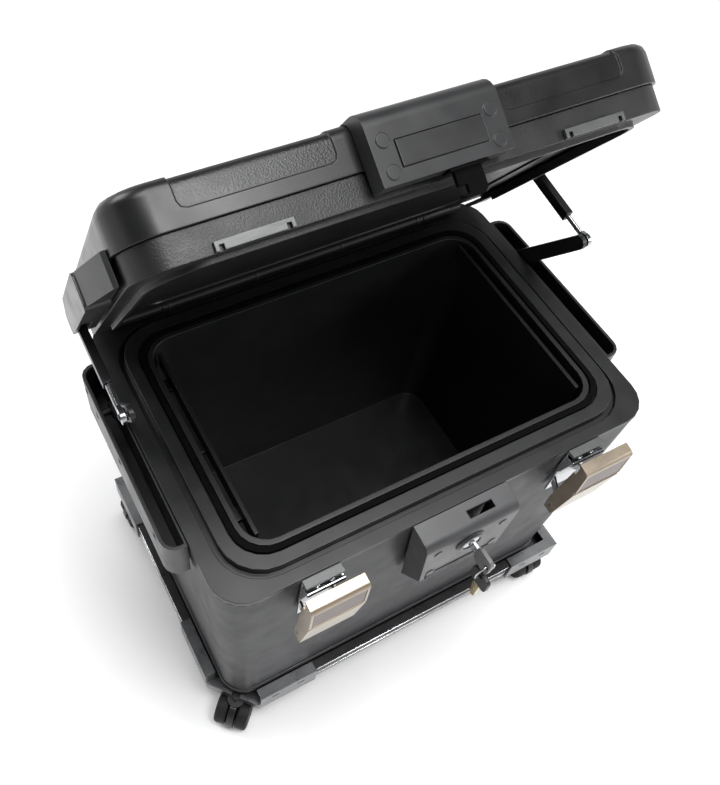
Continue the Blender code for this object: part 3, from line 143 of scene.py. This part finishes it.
def build_camera():
    """The camera at the photograph's viewing angle."""
    camera = bpy.data.cameras.new("camera")
    camera.lens = CAMERA_LENS
    camera.shift_x, camera.shift_y = CAMERA_SHIFT
    camera.clip_start = 0.01
    holder = link(bpy.data.objects.new("camera", camera))
    level_reach = math.cos(CAMERA_PITCH)
    ahead = Vector(
        (
            math.sin(CAMERA_HEADING) * level_reach,
            math.cos(CAMERA_HEADING) * level_reach,
            math.sin(CAMERA_PITCH),
        )
    )
    level = ahead.to_track_quat("-Z", "Y").to_matrix()
    holder.rotation_mode = "QUATERNION"
    holder.rotation_quaternion = (level @ Matrix.Rotation(CAMERA_ROLL, 3, "Z")).to_quaternion()
    holder.location = CAMERA_PLACE
    bpy.context.scene.camera = holder


def build_floor():
    """A plain white floor, much wider than any view."""
    reach = FLOOR_HALF
    corners = [(-reach, -reach, 0), (reach, -reach, 0), (reach, reach, 0), (-reach, reach, 0)]
    mesh = bpy.data.meshes.new("floor")
    mesh.from_pydata(corners, [], [(0, 1, 2, 3)])
    white = bpy.data.materials.new("floor")
    white.use_nodes = True
    shader = white.node_tree.nodes["Principled BSDF"]
    shader.inputs["Base Color"].default_value = FLOOR_WHITE
    shader.inputs["Roughness"].default_value = 0.35
    mesh.materials.append(white)
    link(bpy.data.objects.new("floor", mesh))


def build_world():
    """A dome that is pale at the horizon and dim overhead."""
    world = bpy.data.worlds.new("world")
    bpy.context.scene.world = world
    world.use_nodes = True
    tree = world.node_tree
    background = tree.nodes["Background"]
    background.inputs["Color"].default_value = (1, 1, 1, 1)
    direction = tree.nodes.new("ShaderNodeTexCoord").outputs["Generated"]
    height = tree.nodes.new("ShaderNodeSeparateXYZ")
    tree.links.new(direction, height.inputs[0])
    fade = tree.nodes.new("ShaderNodeMapRange")
    fade.interpolation_type = "SMOOTHSTEP"
    fade.inputs["From Min"].default_value, fade.inputs["From Max"].default_value = FADE_HEIGHTS
    fade.inputs["To Min"].default_value = HORIZON_STRENGTH
    fade.inputs["To Max"].default_value = ZENITH_STRENGTH
    tree.links.new(height.outputs["Z"], fade.inputs["Value"])
    tree.links.new(fade.outputs["Result"], background.inputs["Strength"])


def build_lamps():
    """A broad sun overhead and the soft lamps."""
    sun = bpy.data.lights.new("sun", "SUN")
    sun.energy = SUN_STRENGTH
    sun.angle = SUN_SPREAD
    aimed(link(bpy.data.objects.new("sun", sun)), SUN_FROM, "Z")
    for name, place, target, size, power in LAMPS:
        light = bpy.data.lights.new(name, "AREA")
        light.size = size
        light.energy = power
        lamp = link(bpy.data.objects.new(name, light))
        lamp.location = place
        aimed(lamp, Vector(target) - Vector(place), "-Z")
    bpy.context.scene.view_settings.view_transform = "Standard"


# ------------------------------------------------ materials
# Most of a noise texture's values lie in this band.
BAND = (0.3, 0.7)
# How many rays each Bevel and Ambient Occlusion node casts.
RAYS = 4
SCRATCH_DEPTH = 0.002 * MM
METAL_EDGE = 0.5 * MM
RUBBER_EDGE = 0.6 * MM


class Look:
    """A procedural material on the object's own coordinates, so it moves with its piece."""

    def __init__(self, name, metallic=0.0, specular=0.5, coat=0.0):
        self.material = bpy.data.materials.new(name)
        self.material.use_nodes = True
        self.tree = self.material.node_tree
        self.shader = self.tree.nodes["Principled BSDF"]
        self.shader.inputs["Metallic"].default_value = metallic
        self.shader.inputs["Specular IOR Level"].default_value = specular
        self.shader.inputs["Coat Weight"].default_value = coat
        self.place = self.node("ShaderNodeTexCoord").outputs["Object"]

    def node(self, kind, inputs=None, **settings):
        """A node with its settings, and its inputs each linked to a socket or given a value."""
        made = self.tree.nodes.new(kind)
        for key, value in settings.items():
            setattr(made, key, value)
        for key, value in (inputs or {}).items():
            if isinstance(value, bpy.types.NodeSocket):
                self.tree.links.new(value, made.inputs[key])
            else:
                made.inputs[key].default_value = value
        return made

    def turned(self, centre, angle):
        """The coordinates turned about the hinge, as if the lid were shut."""
        inputs = {"Vector": self.place, "Center": centre, "Angle": angle}
        return self.node("ShaderNodeVectorRotate", inputs, rotation_type="X_AXIS").outputs["Vector"]

    def stretched(self, scale):
        """The coordinates scaled along each axis."""
        inputs = {"Vector": self.place, "Scale": scale}
        return self.node("ShaderNodeMapping", inputs).outputs["Vector"]

    def noise(self, size, detail, place=None):
        """Noise whose blotches are about this size."""
        inputs = {"Vector": place or self.place, "Scale": 1 / size, "Detail": detail}
        return self.node("ShaderNodeTexNoise", inputs).outputs["Fac"]

    def cells(self, size):
        """Distance from the middles of scattered cells, which makes a leathery grain."""
        inputs = {"Vector": self.place, "Scale": 1 / size}
        return self.node("ShaderNodeTexVoronoi", inputs, feature="F1").outputs["Distance"]

    def spread(self, value, low, high, out_low, out_high):
        """A value mapped from one range to another, and held inside it."""
        inputs = {
            "Value": value,
            "From Min": low,
            "From Max": high,
            "To Min": out_low,
            "To Max": out_high,
        }
        return self.node("ShaderNodeMapRange", inputs).outputs["Result"]

    def maths(self, operation, *values):
        """The result of one Math node."""
        return self.node("ShaderNodeMath", dict(enumerate(values)), operation=operation).outputs[0]

    def mix(self, factor, first, second):
        """A colour between two, each a socket or three numbers."""
        made = self.node("ShaderNodeMix", data_type="RGBA")
        for key, value in (("Factor", factor), ("A", first), ("B", second)):
            socket = next(s for s in made.inputs if s.name == key and s.enabled)
            if isinstance(value, bpy.types.NodeSocket):
                self.tree.links.new(value, socket)
            else:
                socket.default_value = value if key == "Factor" else (*value, 1)
        return next(s for s in made.outputs if s.enabled)

    def bump(self, height, distance, normal=None):
        """The normal with a height of this distance laid over it."""
        inputs = {"Height": height, "Distance": distance, "Strength": 1.0}
        if normal:
            inputs["Normal"] = normal
        return self.node("ShaderNodeBump", inputs).outputs["Normal"]

    def round_edges(self, radius):
        """The normal with its edges rounded, and how far it leans over at an edge."""
        eased = self.node("ShaderNodeBevel", {"Radius": radius}, samples=RAYS).outputs["Normal"]
        flat = self.node("ShaderNodeNewGeometry").outputs["Normal"]
        across = self.node("ShaderNodeVectorMath", {0: eased, 1: flat}, operation="DOT_PRODUCT")
        return eased, self.spread(across.outputs["Value"], 1.0, 0.82, 0.0, 1.0)

    def crevice(self, distance):
        """How open the surface is: 1 in the open, less in a corner."""
        inputs = {"Distance": distance}
        return self.node("ShaderNodeAmbientOcclusion", inputs, samples=RAYS).outputs["AO"]

    def set(self, socket, value):
        """Links a varying value to one of the shader's sockets."""
        self.tree.links.new(value, self.shader.inputs[socket])


def tint(colour, gain):
    """A colour made lighter or darker."""
    return tuple(min(1.0, channel * gain) for channel in colour)


def moulded(name, colour, rough, grain, depth, edge=0.7, specular=0.5):
    """Moulded plastic: fine grain, faint mottling, painted shade in corners and painted highlights on
    edges.

    The grain is the size of its texture, the depth its height and the edge the width of the rounded
    edges that take the painted highlight, all in millimetres.
    """
    look = Look(name, specular=specular)
    eased, leaning = look.round_edges(edge * MM)
    mottle = look.noise(34 * MM, 4)
    base = look.mix(look.spread(mottle, *BAND, 0, 1), tint(colour, 0.82), tint(colour, 1.2))
    # Painted highlight: rounded edges are lightened in patches, standing in for the light they catch.
    patches = look.spread(look.noise(7 * MM, 5), 0.35, 0.7, 0.15, 0.8)
    painted_edge_light = look.maths("MULTIPLY", leaning, patches)
    base = look.mix(painted_edge_light, base, tint(colour, 2.4))
    # Painted shade: the colour darkens where ambient occlusion finds a corner or a recess.
    shade = look.spread(look.crevice(5 * MM), 0.15, 0.75, 1, 0)
    look.set("Base Color", look.mix(shade, base, tint(colour, 0.35)))
    wear = look.noise(22 * MM, 8)
    look.set("Roughness", look.spread(wear, *BAND, *rough))
    height = look.maths("ADD", look.cells(grain * MM), look.noise(grain * 0.4 * MM, 2))
    grained = look.bump(height, depth * MM, eased)
    look.set("Normal", look.bump(look.noise(90 * MM, 0), 0.04 * MM, grained))
    return look


def panelled(look):
    """Coarse grain where the panels are sunk into the lid, which is smooth elsewhere."""
    shut = look.turned(HINGE, LID_OPEN_ANGLE)
    parts = look.node("ShaderNodeSeparateXYZ", {0: shut}).outputs
    across = look.maths("ABSOLUTE", parts["X"])
    near, far = PANEL_X
    inside = look.maths("COMPARE", across, (near + far) / 2, (far - near) / 2 - MM)
    above = look.maths("GREATER_THAN", parts["Z"], PANEL_BOTTOM_Z)
    ahead = look.maths("LESS_THAN", parts["Y"], PANEL_BACK_Y)
    mask = look.maths("MULTIPLY", look.maths("MULTIPLY", inside, above), ahead)
    last = look.shader.inputs["Normal"].links[0].from_socket
    height = look.maths("MULTIPLY", look.cells(1.3 * MM), mask)
    look.set("Normal", look.bump(height, 0.07 * MM, last))
    return look


def metal(name, colour, rough, brush, metallic=1.0, coat=0.0):
    """Metal with smears, painted highlights on its edges, painted shade in its corners and fine lines
    along the axes whose brush numbers are small.
    """
    look = Look(name, metallic=metallic, coat=coat)
    eased, leaning = look.round_edges(METAL_EDGE)
    lines = look.noise(0.7 * MM, 3, look.stretched(brush))
    cloud = look.noise(16 * MM, 4)
    base = look.mix(look.spread(cloud, *BAND, 0, 1), tint(colour, 0.86), tint(colour, 1.08))
    base = look.mix(look.spread(lines, 0.45, 0.75, 0, 0.35), base, tint(colour, 0.7))
    # Painted highlight: every rounded edge is lightened.
    base = look.mix(look.maths("MULTIPLY", leaning, 0.5), base, tint(colour, 1.5))
    # Painted shade: the colour darkens where ambient occlusion finds a corner or a recess.
    shade = look.spread(look.crevice(3 * MM), 0.1, 0.6, 0.85, 0)
    look.set("Base Color", look.mix(shade, base, tint(colour, 0.18)))
    halves = (look.spread(texture, *BAND, 0, 0.5) for texture in (cloud, lines))
    smear = look.maths("ADD", *halves)
    look.set("Roughness", look.spread(smear, 0, 1, *rough))
    look.set("Normal", look.bump(lines, SCRATCH_DEPTH, eased))
    return look


def rubber(name, colour, specular=0.3):
    """Matt rubber, mottled in tone, with a painted highlight at its edges."""
    look = Look(name, specular=specular)
    eased, leaning = look.round_edges(RUBBER_EDGE)
    scuff = look.noise(4 * MM, 6)
    base = look.mix(look.spread(scuff, 0.4, 0.7, 0, 1), tint(colour, 0.8), tint(colour, 1.7))
    # Painted highlight: every rounded edge is lightened.
    base = look.mix(look.maths("MULTIPLY", leaning, 0.6), base, tint(colour, 2.6))
    look.set("Base Color", base)
    look.set("Roughness", look.spread(scuff, *BAND, 0.5, 0.72))
    look.set("Normal", look.bump(look.noise(0.5 * MM, 2), 0.03 * MM, eased))
    return look


def board(name, colour):
    """Cast insulation, chalky and pitted."""
    look = Look(name)
    pits = look.cells(4 * MM)
    base = look.mix(look.noise(20 * MM, 5), tint(colour, 0.75), tint(colour, 1.1))
    look.set("Base Color", base)
    look.set("Roughness", look.spread(pits, 0, 0.7, 0.95, 0.8))
    look.set("Normal", look.bump(pits, 0.3 * MM))
    return look


LID_BLACK = (0.0085, 0.0087, 0.0093)

# For each look: its colour, then the least and the greatest roughness.
LOOKS = {
    "shell": moulded(
        "shell", (0.0125, 0.0128, 0.0155), (0.38, 0.46), grain=0.9, depth=0.03, specular=0.2
    ),
    "skirt": moulded("skirt", LID_BLACK, (0.34, 0.44), grain=1.3, depth=0.075),
    "cover": moulded("cover", LID_BLACK, (0.26, 0.34), grain=0.7, depth=0.01, edge=1.2),
    "panels": panelled(moulded("panels", LID_BLACK, (0.27, 0.36), grain=0.7, depth=0.01)),
    "liner": moulded("liner", (0.0095, 0.0098, 0.0105), (0.32, 0.42), grain=0.7, depth=0.02),
    "name_grey": moulded("name_grey", (0.022, 0.0226, 0.0238), (0.3, 0.4), grain=0.6, depth=0.015),
    "lock_grey": moulded("lock_grey", (0.046, 0.0465, 0.049), (0.32, 0.42), grain=0.6, depth=0.015),
    "trim_grey": moulded("trim_grey", (0.02, 0.0205, 0.022), (0.26, 0.38), grain=0.7, depth=0.015),
    "channel": moulded("channel", (0.011, 0.0114, 0.0122), (0.3, 0.42), grain=0.8, depth=0.02),
    "plate": moulded("plate", (0.019, 0.0194, 0.0205), (0.28, 0.36), grain=0.5, depth=0.008),
    # Near-black rubber: the gasket and hasp, and black pieces that paint shade in gaps and slots.
    "black_seal_and_shade": rubber("black_seal_and_shade", (0.002, 0.002, 0.002), 0.04),
    "tyre": rubber("tyre", (0.009, 0.009, 0.0095)),
    "insulation": board("insulation", (0.55, 0.54, 0.5)),
    "rail_steel": metal("rail_steel", (0.016, 0.016, 0.018), (0.26, 0.4), (0.04, 1, 1), 0.4),
    "cart_black": metal("cart_black", (0.012, 0.012, 0.0135), (0.24, 0.36), (0.06, 0.06, 1), 0.3),
    "bracket": metal("bracket", (0.13, 0.132, 0.137), (0.24, 0.34), (0.08, 0.08, 1), 0.9),
    "chrome": metal("chrome", (0.5, 0.51, 0.53), (0.12, 0.26), (0.2, 1, 1)),
    "bright": metal("bright", (0.66, 0.67, 0.69), (0.16, 0.3), (0.05, 1, 1)),
    "zinc": metal("zinc", (0.135, 0.137, 0.138), (0.4, 0.52), (0.06, 1, 1), 0.8),
    "champagne": metal("champagne", (0.36, 0.3, 0.23), (0.26, 0.36), (1, 1, 0.08), 0.75, coat=0.2),
    "insert": metal("insert", (0.16, 0.13, 0.12), (0.34, 0.46), (0.08, 1, 1), 0.5),
    "grip": moulded("grip", (0.13, 0.13, 0.126), (0.32, 0.42), grain=0.4, depth=0.006, edge=0.4),
    "grip_black": moulded(
        "grip_black", (0.01, 0.01, 0.011), (0.3, 0.4), grain=0.4, depth=0.006, edge=0.4
    ),
    "brass": metal("brass", (0.56, 0.46, 0.28), (0.2, 0.34), (0.1, 0.1, 1)),
}

# The nodes that take each look. finish_of() knows the brackets and the casters by their names.
FINISHES = {
    "shell": ("base_shell",),
    "skirt": ("lid_frame",),
    "panels": ("lid_cover",),
    "cover": ("hinge_leaf", "hinge_barrel_left", "hinge_barrel_right"),
    "liner": ("base_liner", "lid_liner"),
    "name_grey": ("name_block",),
    "lock_grey": ("lock_housing",),
    "trim_grey": ("lid_lug_left", "lid_lug_right"),
    "channel": ("side_channel_left", "side_channel_right", "stay_arm_left", "stay_arm_right"),
    "plate": ("name_plate", "lock_escutcheon"),
    "black_seal_and_shade": ("rim_gasket", "hasp"),
    "insulation": ("base_insulation", "lid_insulation"),
    "rail_steel": ("file_rail_left", "file_rail_right", "stay_body_left", "stay_body_right"),
    "cart_black": ("cart_rail_front", "cart_rail_back", "cart_rail_left", "cart_rail_right"),
    "chrome": (
        "stay_rod_left",
        "stay_rod_right",
        "latch_base_left",
        "latch_base_right",
        "lock_cylinder",
        "key_ring",
    ),
    "bright": ("hinge_pin", "lock_bolt", "key"),
    "brass": ("spare_key",),
    "zinc": ("strike_plate_left", "strike_plate_right"),
    "champagne": ("latch_lever_left", "latch_lever_right"),
    "insert": ("latch_insert_left", "latch_insert_right"),
}

# How far each node's creases are rounded, in millimetres, by the start of its name.
ROUNDING = (
    ("base_shell", 0.8),
    ("base_liner", 0.5),
    ("lid_cover", 0.9),
    ("lid_frame", 0.6),
    ("lid_liner", 0.5),
    ("lid_lug", 1.2),
    ("name_block", 0.9),
    ("name_plate", 0.3),
    ("lock_housing", 0.8),
    ("lock_escutcheon", 0.4),
    ("latch_lever", 1.1),
    ("latch_insert", 0.3),
    ("latch_base", 0.3),
    ("strike_plate", 0.25),
    ("side_channel", 0.8),
    ("cart_bracket", 0.4),
    ("cart_rail", 0.4),
    ("caster", 0.7),
    ("file_rail", 0.5),
    ("stay", 0.6),
    ("hasp", 0.4),
    ("hinge_leaf", 0.3),
    ("hinge_barrel", 0.3),
    ("key", 0.25),
    ("spare_key", 0.25),
)

# Nodes of two finishes: the second look, and which faces take it by their middles.
REPAINTED = {
    "latch_base_left": ("zinc", lambda middle: middle.z > LATCH_TAB_Z),
    "latch_base_right": ("zinc", lambda middle: middle.z > LATCH_TAB_Z),
    "key": ("grip", lambda middle: middle.y < KEY_HEAD_Y),
    "spare_key": ("grip_black", lambda middle: (middle - SPARE_KEY_EYE).length < SPARE_HEAD_REACH),
}


# ------------------------------------------------ pieces
# A crease sharper than this is rounded on a copy of a node, or kept sharp on an added piece.
NODE_CREASE = math.radians(32)
ADDED_CREASE = math.radians(40)
# Facets within this angle of each other are merged into one flat face.
FLAT = math.radians(0.5)
WELD = 0.001 * MM
BEVEL_SEGMENTS = 2


def add(name, mesh, look, body):
    """A smooth-shaded piece on a body, with its creases kept sharp."""
    mesh.name = name
    mesh.materials.clear()
    mesh.materials.append(LOOKS[look].material)
    mesh.shade_smooth()
    mesh.set_sharp_from_angle(angle=ADDED_CREASE)
    piece = link(bpy.data.objects.new(name, mesh))
    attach(piece, body)
    return piece


def mesh_of(work, name):
    """The finished mesh of a bmesh, which is freed."""
    mesh = bpy.data.meshes.new(name)
    work.to_mesh(mesh)
    work.free()
    return mesh


def evaluated(obj):
    """A new mesh of an object with its modifiers applied."""
    graph = bpy.context.evaluated_depsgraph_get()
    return bpy.data.meshes.new_from_object(obj.evaluated_get(graph))


def finish_of(node):
    """The look that a node takes, by its name."""
    for look, nodes in FINISHES.items():
        if node in nodes:
            return look
    if node.startswith("cart_bracket"):
        return "bracket"
    return "tyre" if "wheels" in node else "channel"


def dress(node):
    """Gives a CAD node that is shown as it is its finish."""
    for slot in NODES[node].material_slots:
        slot.material = LOOKS[finish_of(node)].material


def refined(node, width):
    """A copy of a CAD node with its facets merged and its creases rounded, which stands for it."""
    source = NODES[node]
    work = bmesh.new()
    work.from_mesh(source.data)
    bmesh.ops.remove_doubles(work, verts=work.verts, dist=WELD)
    bmesh.ops.dissolve_limit(work, angle_limit=FLAT, verts=work.verts, edges=work.edges)
    mesh = mesh_of(work, "copy")
    mesh.shade_smooth()
    mesh.set_sharp_from_angle(angle=NODE_CREASE)
    copy = link(bpy.data.objects.new("copy", mesh))
    round_off = copy.modifiers.new("round", "BEVEL")
    round_off.width = width * MM
    round_off.segments = BEVEL_SEGMENTS
    round_off.limit_method = "ANGLE"
    round_off.angle_limit = NODE_CREASE
    round_off.use_clamp_overlap = True
    weighted = copy.modifiers.new("weighted", "WEIGHTED_NORMAL")
    weighted.keep_sharp = False
    weighted.weight = 60
    made = evaluated(copy)
    bpy.data.objects.remove(copy)
    made.name = f"{node}_piece"
    made.materials.clear()
    made.materials.append(LOOKS[finish_of(node)].material)
    piece = link(bpy.data.objects.new(f"{node}_piece", made))
    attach(piece, source["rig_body"])
    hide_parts(node)
    return piece


def repaint(piece, look, chosen):
    """The faces whose middles are chosen take a second look."""
    piece.data.materials.append(LOOKS[look].material)
    for face in piece.data.polygons:
        if chosen(face.center):
            face.material_index = 1


def ring_path(half_x, half_y, radius, steps=8):
    """Points round a rectangle with round corners, each with its outward direction."""
    points = []
    for quarter, (side_x, side_y) in enumerate(((1, 1), (-1, 1), (-1, -1), (1, -1))):
        centre = Vector((side_x * (half_x - radius), side_y * (half_y - radius)))
        for step in range(steps + 1):
            angle = math.radians(90 * quarter + 90 * step / steps)
            out = Vector((math.cos(angle), math.sin(angle)))
            points.append((centre + out * radius, out))
    return points


def swept(points, profile):
    """A closed band: the profile's (out, z) points carried round the path."""
    work = bmesh.new()
    rows = []
    for point, out in points:
        rows.append([work.verts.new((*(point + out * reach), z)) for reach, z in profile])
    for index, row in enumerate(rows):
        following = rows[(index + 1) % len(rows)]
        for side in range(len(profile)):
            other = (side + 1) % len(profile)
            work.faces.new((row[side], following[side], following[other], row[other]))
    bmesh.ops.recalc_face_normals(work, faces=work.faces)
    return mesh_of(work, "band")


def lathe(profile, centre, axis, steps):
    """Points (reach along the axis, radius) turned round it; a radius of 0 closes an end."""
    axis = Vector(axis).normalized()
    across = axis.orthogonal().normalized()
    beside = axis.cross(across)
    turns = [2 * math.pi * step / steps for step in range(steps)]
    spokes = [across * math.cos(turn) + beside * math.sin(turn) for turn in turns]
    work = bmesh.new()
    rows = []
    for along, radius in profile:
        middle = Vector(centre) + axis * along
        if radius:
            rows.append([work.verts.new(middle + spoke * radius) for spoke in spokes])
        else:
            rows.append([work.verts.new(middle)])
    for low, high in zip(rows, rows[1:]):
        for step in range(steps):
            other = (step + 1) % steps
            if len(low) == 1:
                work.faces.new((low[0], high[other], high[step]))
            elif len(high) == 1:
                work.faces.new((low[step], low[other], high[0]))
            else:
                work.faces.new((low[step], low[other], high[other], high[step]))
    bmesh.ops.recalc_face_normals(work, faces=work.faces)
    return mesh_of(work, "turned")


def joined(meshes):
    """One mesh made of several."""
    work = bmesh.new()
    for mesh in meshes:
        work.from_mesh(mesh)
    return mesh_of(work, "joined")


def bar(low, high, width):
    """A bar between two corners with its edges bevelled."""
    work = bmesh.new()
    bmesh.ops.create_cube(work, size=1)
    bmesh.ops.scale(work, vec=Vector(high) - Vector(low), verts=work.verts)
    bmesh.ops.translate(work, vec=(Vector(low) + Vector(high)) / 2, verts=work.verts)
    edges = list(work.edges)
    bmesh.ops.bevel(
        work, geom=edges, offset=width, segments=BEVEL_SEGMENTS, profile=0.5, affect="EDGES"
    )
    return mesh_of(work, "bar")


def build_foot_bead():
    """The rounded lip round the foot of the shell, just above the cart."""
    low, high = SHELL_Z
    lean = SHELL_TAPER * (high - FOOT_BEAD_Z) / (high - low)
    path = ring_path(SHELL_HALF[0] - lean, SHELL_HALF[1] - lean, FOOT_RADIUS)
    inner = -0.6 * MM
    profile = [(inner, FOOT_BEAD_Z - FOOT_BEAD_RADIUS)]
    for degrees in range(-90, 91, 30):
        angle = math.radians(degrees)
        height = FOOT_BEAD_Z + FOOT_BEAD_RADIUS * math.sin(angle)
        profile.append((FOOT_BEAD_RADIUS * math.cos(angle), height))
    profile.append((inner, FOOT_BEAD_Z + FOOT_BEAD_RADIUS))
    add("foot_bead", swept(path, profile), "channel", "base")


def build_rail_trim_and_edge_highlights():
    """A bright trim strip along the lower groove of each rail, and a bright strip along its upper
    edge that is a painted highlight, between brackets.
    """
    for name, axis, side, start_bracket, end_bracket in (
        ("front", 0, -1, "front_left", "front_right"),
        ("back", 0, 1, "back_left", "back_right"),
        ("left", 1, -1, "front_left", "back_left"),
        ("right", 1, 1, "front_right", "back_right"),
    ):
        low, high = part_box(f"cart_rail_{name}")
        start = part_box(f"cart_bracket_{start_bracket}")[1][axis] + MM
        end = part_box(f"cart_bracket_{end_bracket}")[0][axis] - MM
        face = (high if side > 0 else low)[1 - axis]
        depths = sorted((face + side * 0.3 * MM, face - side * 0.7 * MM))
        strips = []
        # The strip in the groove is a trim; the strip at the top edge is a painted highlight.
        for z, tall in ((RAIL_GROOVE_Z, 0.8 * MM), (high.z - 0.6 * MM, 0.5 * MM)):
            corners = [Vector((0, 0, z - tall)), Vector((0, 0, z + tall))]
            for corner, along, depth in zip(corners, (start, end), depths):
                corner[axis] = along
                corner[1 - axis] = depth
            strips.append(bar(*corners, 0.25 * MM))
        add(f"rail_trim_and_edge_highlight_{name}", joined(strips), "bright", "base")


def build_seam_shadow():
    """A black band in the gap under the flange of the rim: a painted shadow of the seam."""
    z = SHELL_Z[1] + 0.1 * MM
    inset = 0.15 * MM
    path = ring_path(RIM_HALF[0] - inset, RIM_HALF[1] - inset, OUTER_RADIUS - inset)
    inner = -1.4 * MM
    profile = [
        (inner, z - 0.6 * MM),
        (-0.2 * MM, z - 0.6 * MM),
        (0, z),
        (-0.1 * MM, z + 0.5 * MM),
        (inner, z + 0.5 * MM),
    ]
    add("rim_seam_shadow", swept(path, profile), "black_seal_and_shade", "base")


def build_lock_ribs():
    """Fine ribs across the foot of the lock housing, on a black strip that paints shade between them.
    """
    half = 34 * MM
    # Painted shade: the black strip behind the ribs darkens the gaps between them.
    ground = bar(
        (-half, LOCK_FACE_Y - 0.15 * MM, RIM_Z - 66.6 * MM),
        (half, LOCK_FACE_Y + 0.5 * MM, RIM_Z - 58.4 * MM),
        0.1 * MM,
    )
    add("lock_rib_shade", ground, "black_seal_and_shade", "base")
    ribs = []
    for drop in (59.4, 61.4, 63.4, 65.4):
        z = RIM_Z - drop * MM
        low = (-half, LOCK_FACE_Y - 1.0 * MM, z - 0.55 * MM)
        ribs.append(bar(low, (half, LOCK_FACE_Y + 0.3 * MM, z + 0.55 * MM), 0.25 * MM))
    add("lock_ribs", joined(ribs), "lock_grey", "base")


def through_leg(side, face):
    """The span of a slot's painted shadow through a bracket leg whose inner face is given,
    in rising order.
    """
    return sorted((side * (face - 0.2 * MM), side * (face + 1.7 * MM)))


def build_bracket_slot_shadows():
    """Black bars in the slots of the corner brackets' legs: painted shadow inside the slots."""
    face_x, face_y = BRACKET_INNER
    low_z, high_z = SLOT_Z
    edge = 0.6 * MM
    for side_x, side_y, label, cut_x, cut_y in BRACKETS:
        low_x, high_x = through_leg(side_x, face_x)
        low_y, high_y = through_leg(side_y, face_y)
        # Painted shadow: a black bar fills each slot, darkening it as shade would.
        shadow_bars = []
        for along in SLOT_PLACES:
            x = side_x * (face_x - cut_x - along)
            y = side_y * (face_y - cut_y - along)
            shadow_bars.append(bar((x - SLOT_HALF, low_y, low_z), (x + SLOT_HALF, high_y, high_z), edge))
            shadow_bars.append(bar((low_x, y - SLOT_HALF, low_z), (high_x, y + SLOT_HALF, high_z), edge))
        add(f"bracket_slot_shadows_{label}", joined(shadow_bars), "black_seal_and_shade", "base")


def build_channel_screws():
    """Pan-head screws in dished washers on the outer walls of the side channels."""
    washer = [
        (0, 0),
        (0, 3.4 * MM),
        (0.25 * MM, 3.3 * MM),
        (0.3 * MM, 2.4 * MM),
        (0.05 * MM, 2.1 * MM),
        (0.05 * MM, 0),
    ]
    head = [
        (0.05 * MM, 0),
        (0.05 * MM, 1.9 * MM),
        (0.4 * MM, 1.7 * MM),
        (0.65 * MM, 1.1 * MM),
        (0.65 * MM, 0.7 * MM),
        (0.2 * MM, 0.5 * MM),
        (0.2 * MM, 0),
    ]
    for side, label in ((-1, "left"), (1, "right")):
        axis = (side, 0, 0)
        meshes = []
        for y in CHANNEL_SCREWS:
            centre = (side * CHANNEL_FACE_X, y, CHANNEL_SCREW_Z)
            meshes.append(lathe(washer, centre, axis, 18))
            meshes.append(lathe(head, centre, axis, 12))
        add(f"channel_screws_{label}", joined(meshes), "rail_steel", "base")


def build_hinge_collars():
    """Thin collars where the hinge tube meets the barrels and part way along it."""
    ring = [
        (-1.2 * MM, 5.6 * MM),
        (-1.0 * MM, 6.1 * MM),
        (1.0 * MM, 6.1 * MM),
        (1.2 * MM, 5.6 * MM),
        (1.2 * MM, 5.3 * MM),
        (-1.2 * MM, 5.3 * MM),
        (-1.2 * MM, 5.6 * MM),
    ]
    collars = [lathe(ring, HINGE + Vector((x, 0, 0)), (1, 0, 0), 24) for x in COLLARS_X]
    add("hinge_collars", joined(collars), "liner", "lid")


def build_bodies():
    """Every CAD node in its finish, the ones with creases to round as refined copies."""
    for node in sorted(NODES):
        width = next((width for start, width in ROUNDING if node.startswith(start)), None)
        if width is None:
            dress(node)
            continue
        piece = refined(node, width)
        if node in REPAINTED:
            repaint(piece, *REPAINTED[node])


build_camera()
build_floor()
build_world()
build_lamps()
build_bodies()
build_foot_bead()
build_rail_trim_and_edge_highlights()
build_seam_shadow()
build_lock_ribs()
build_bracket_slot_shadows()
build_channel_screws()
build_hinge_collars()
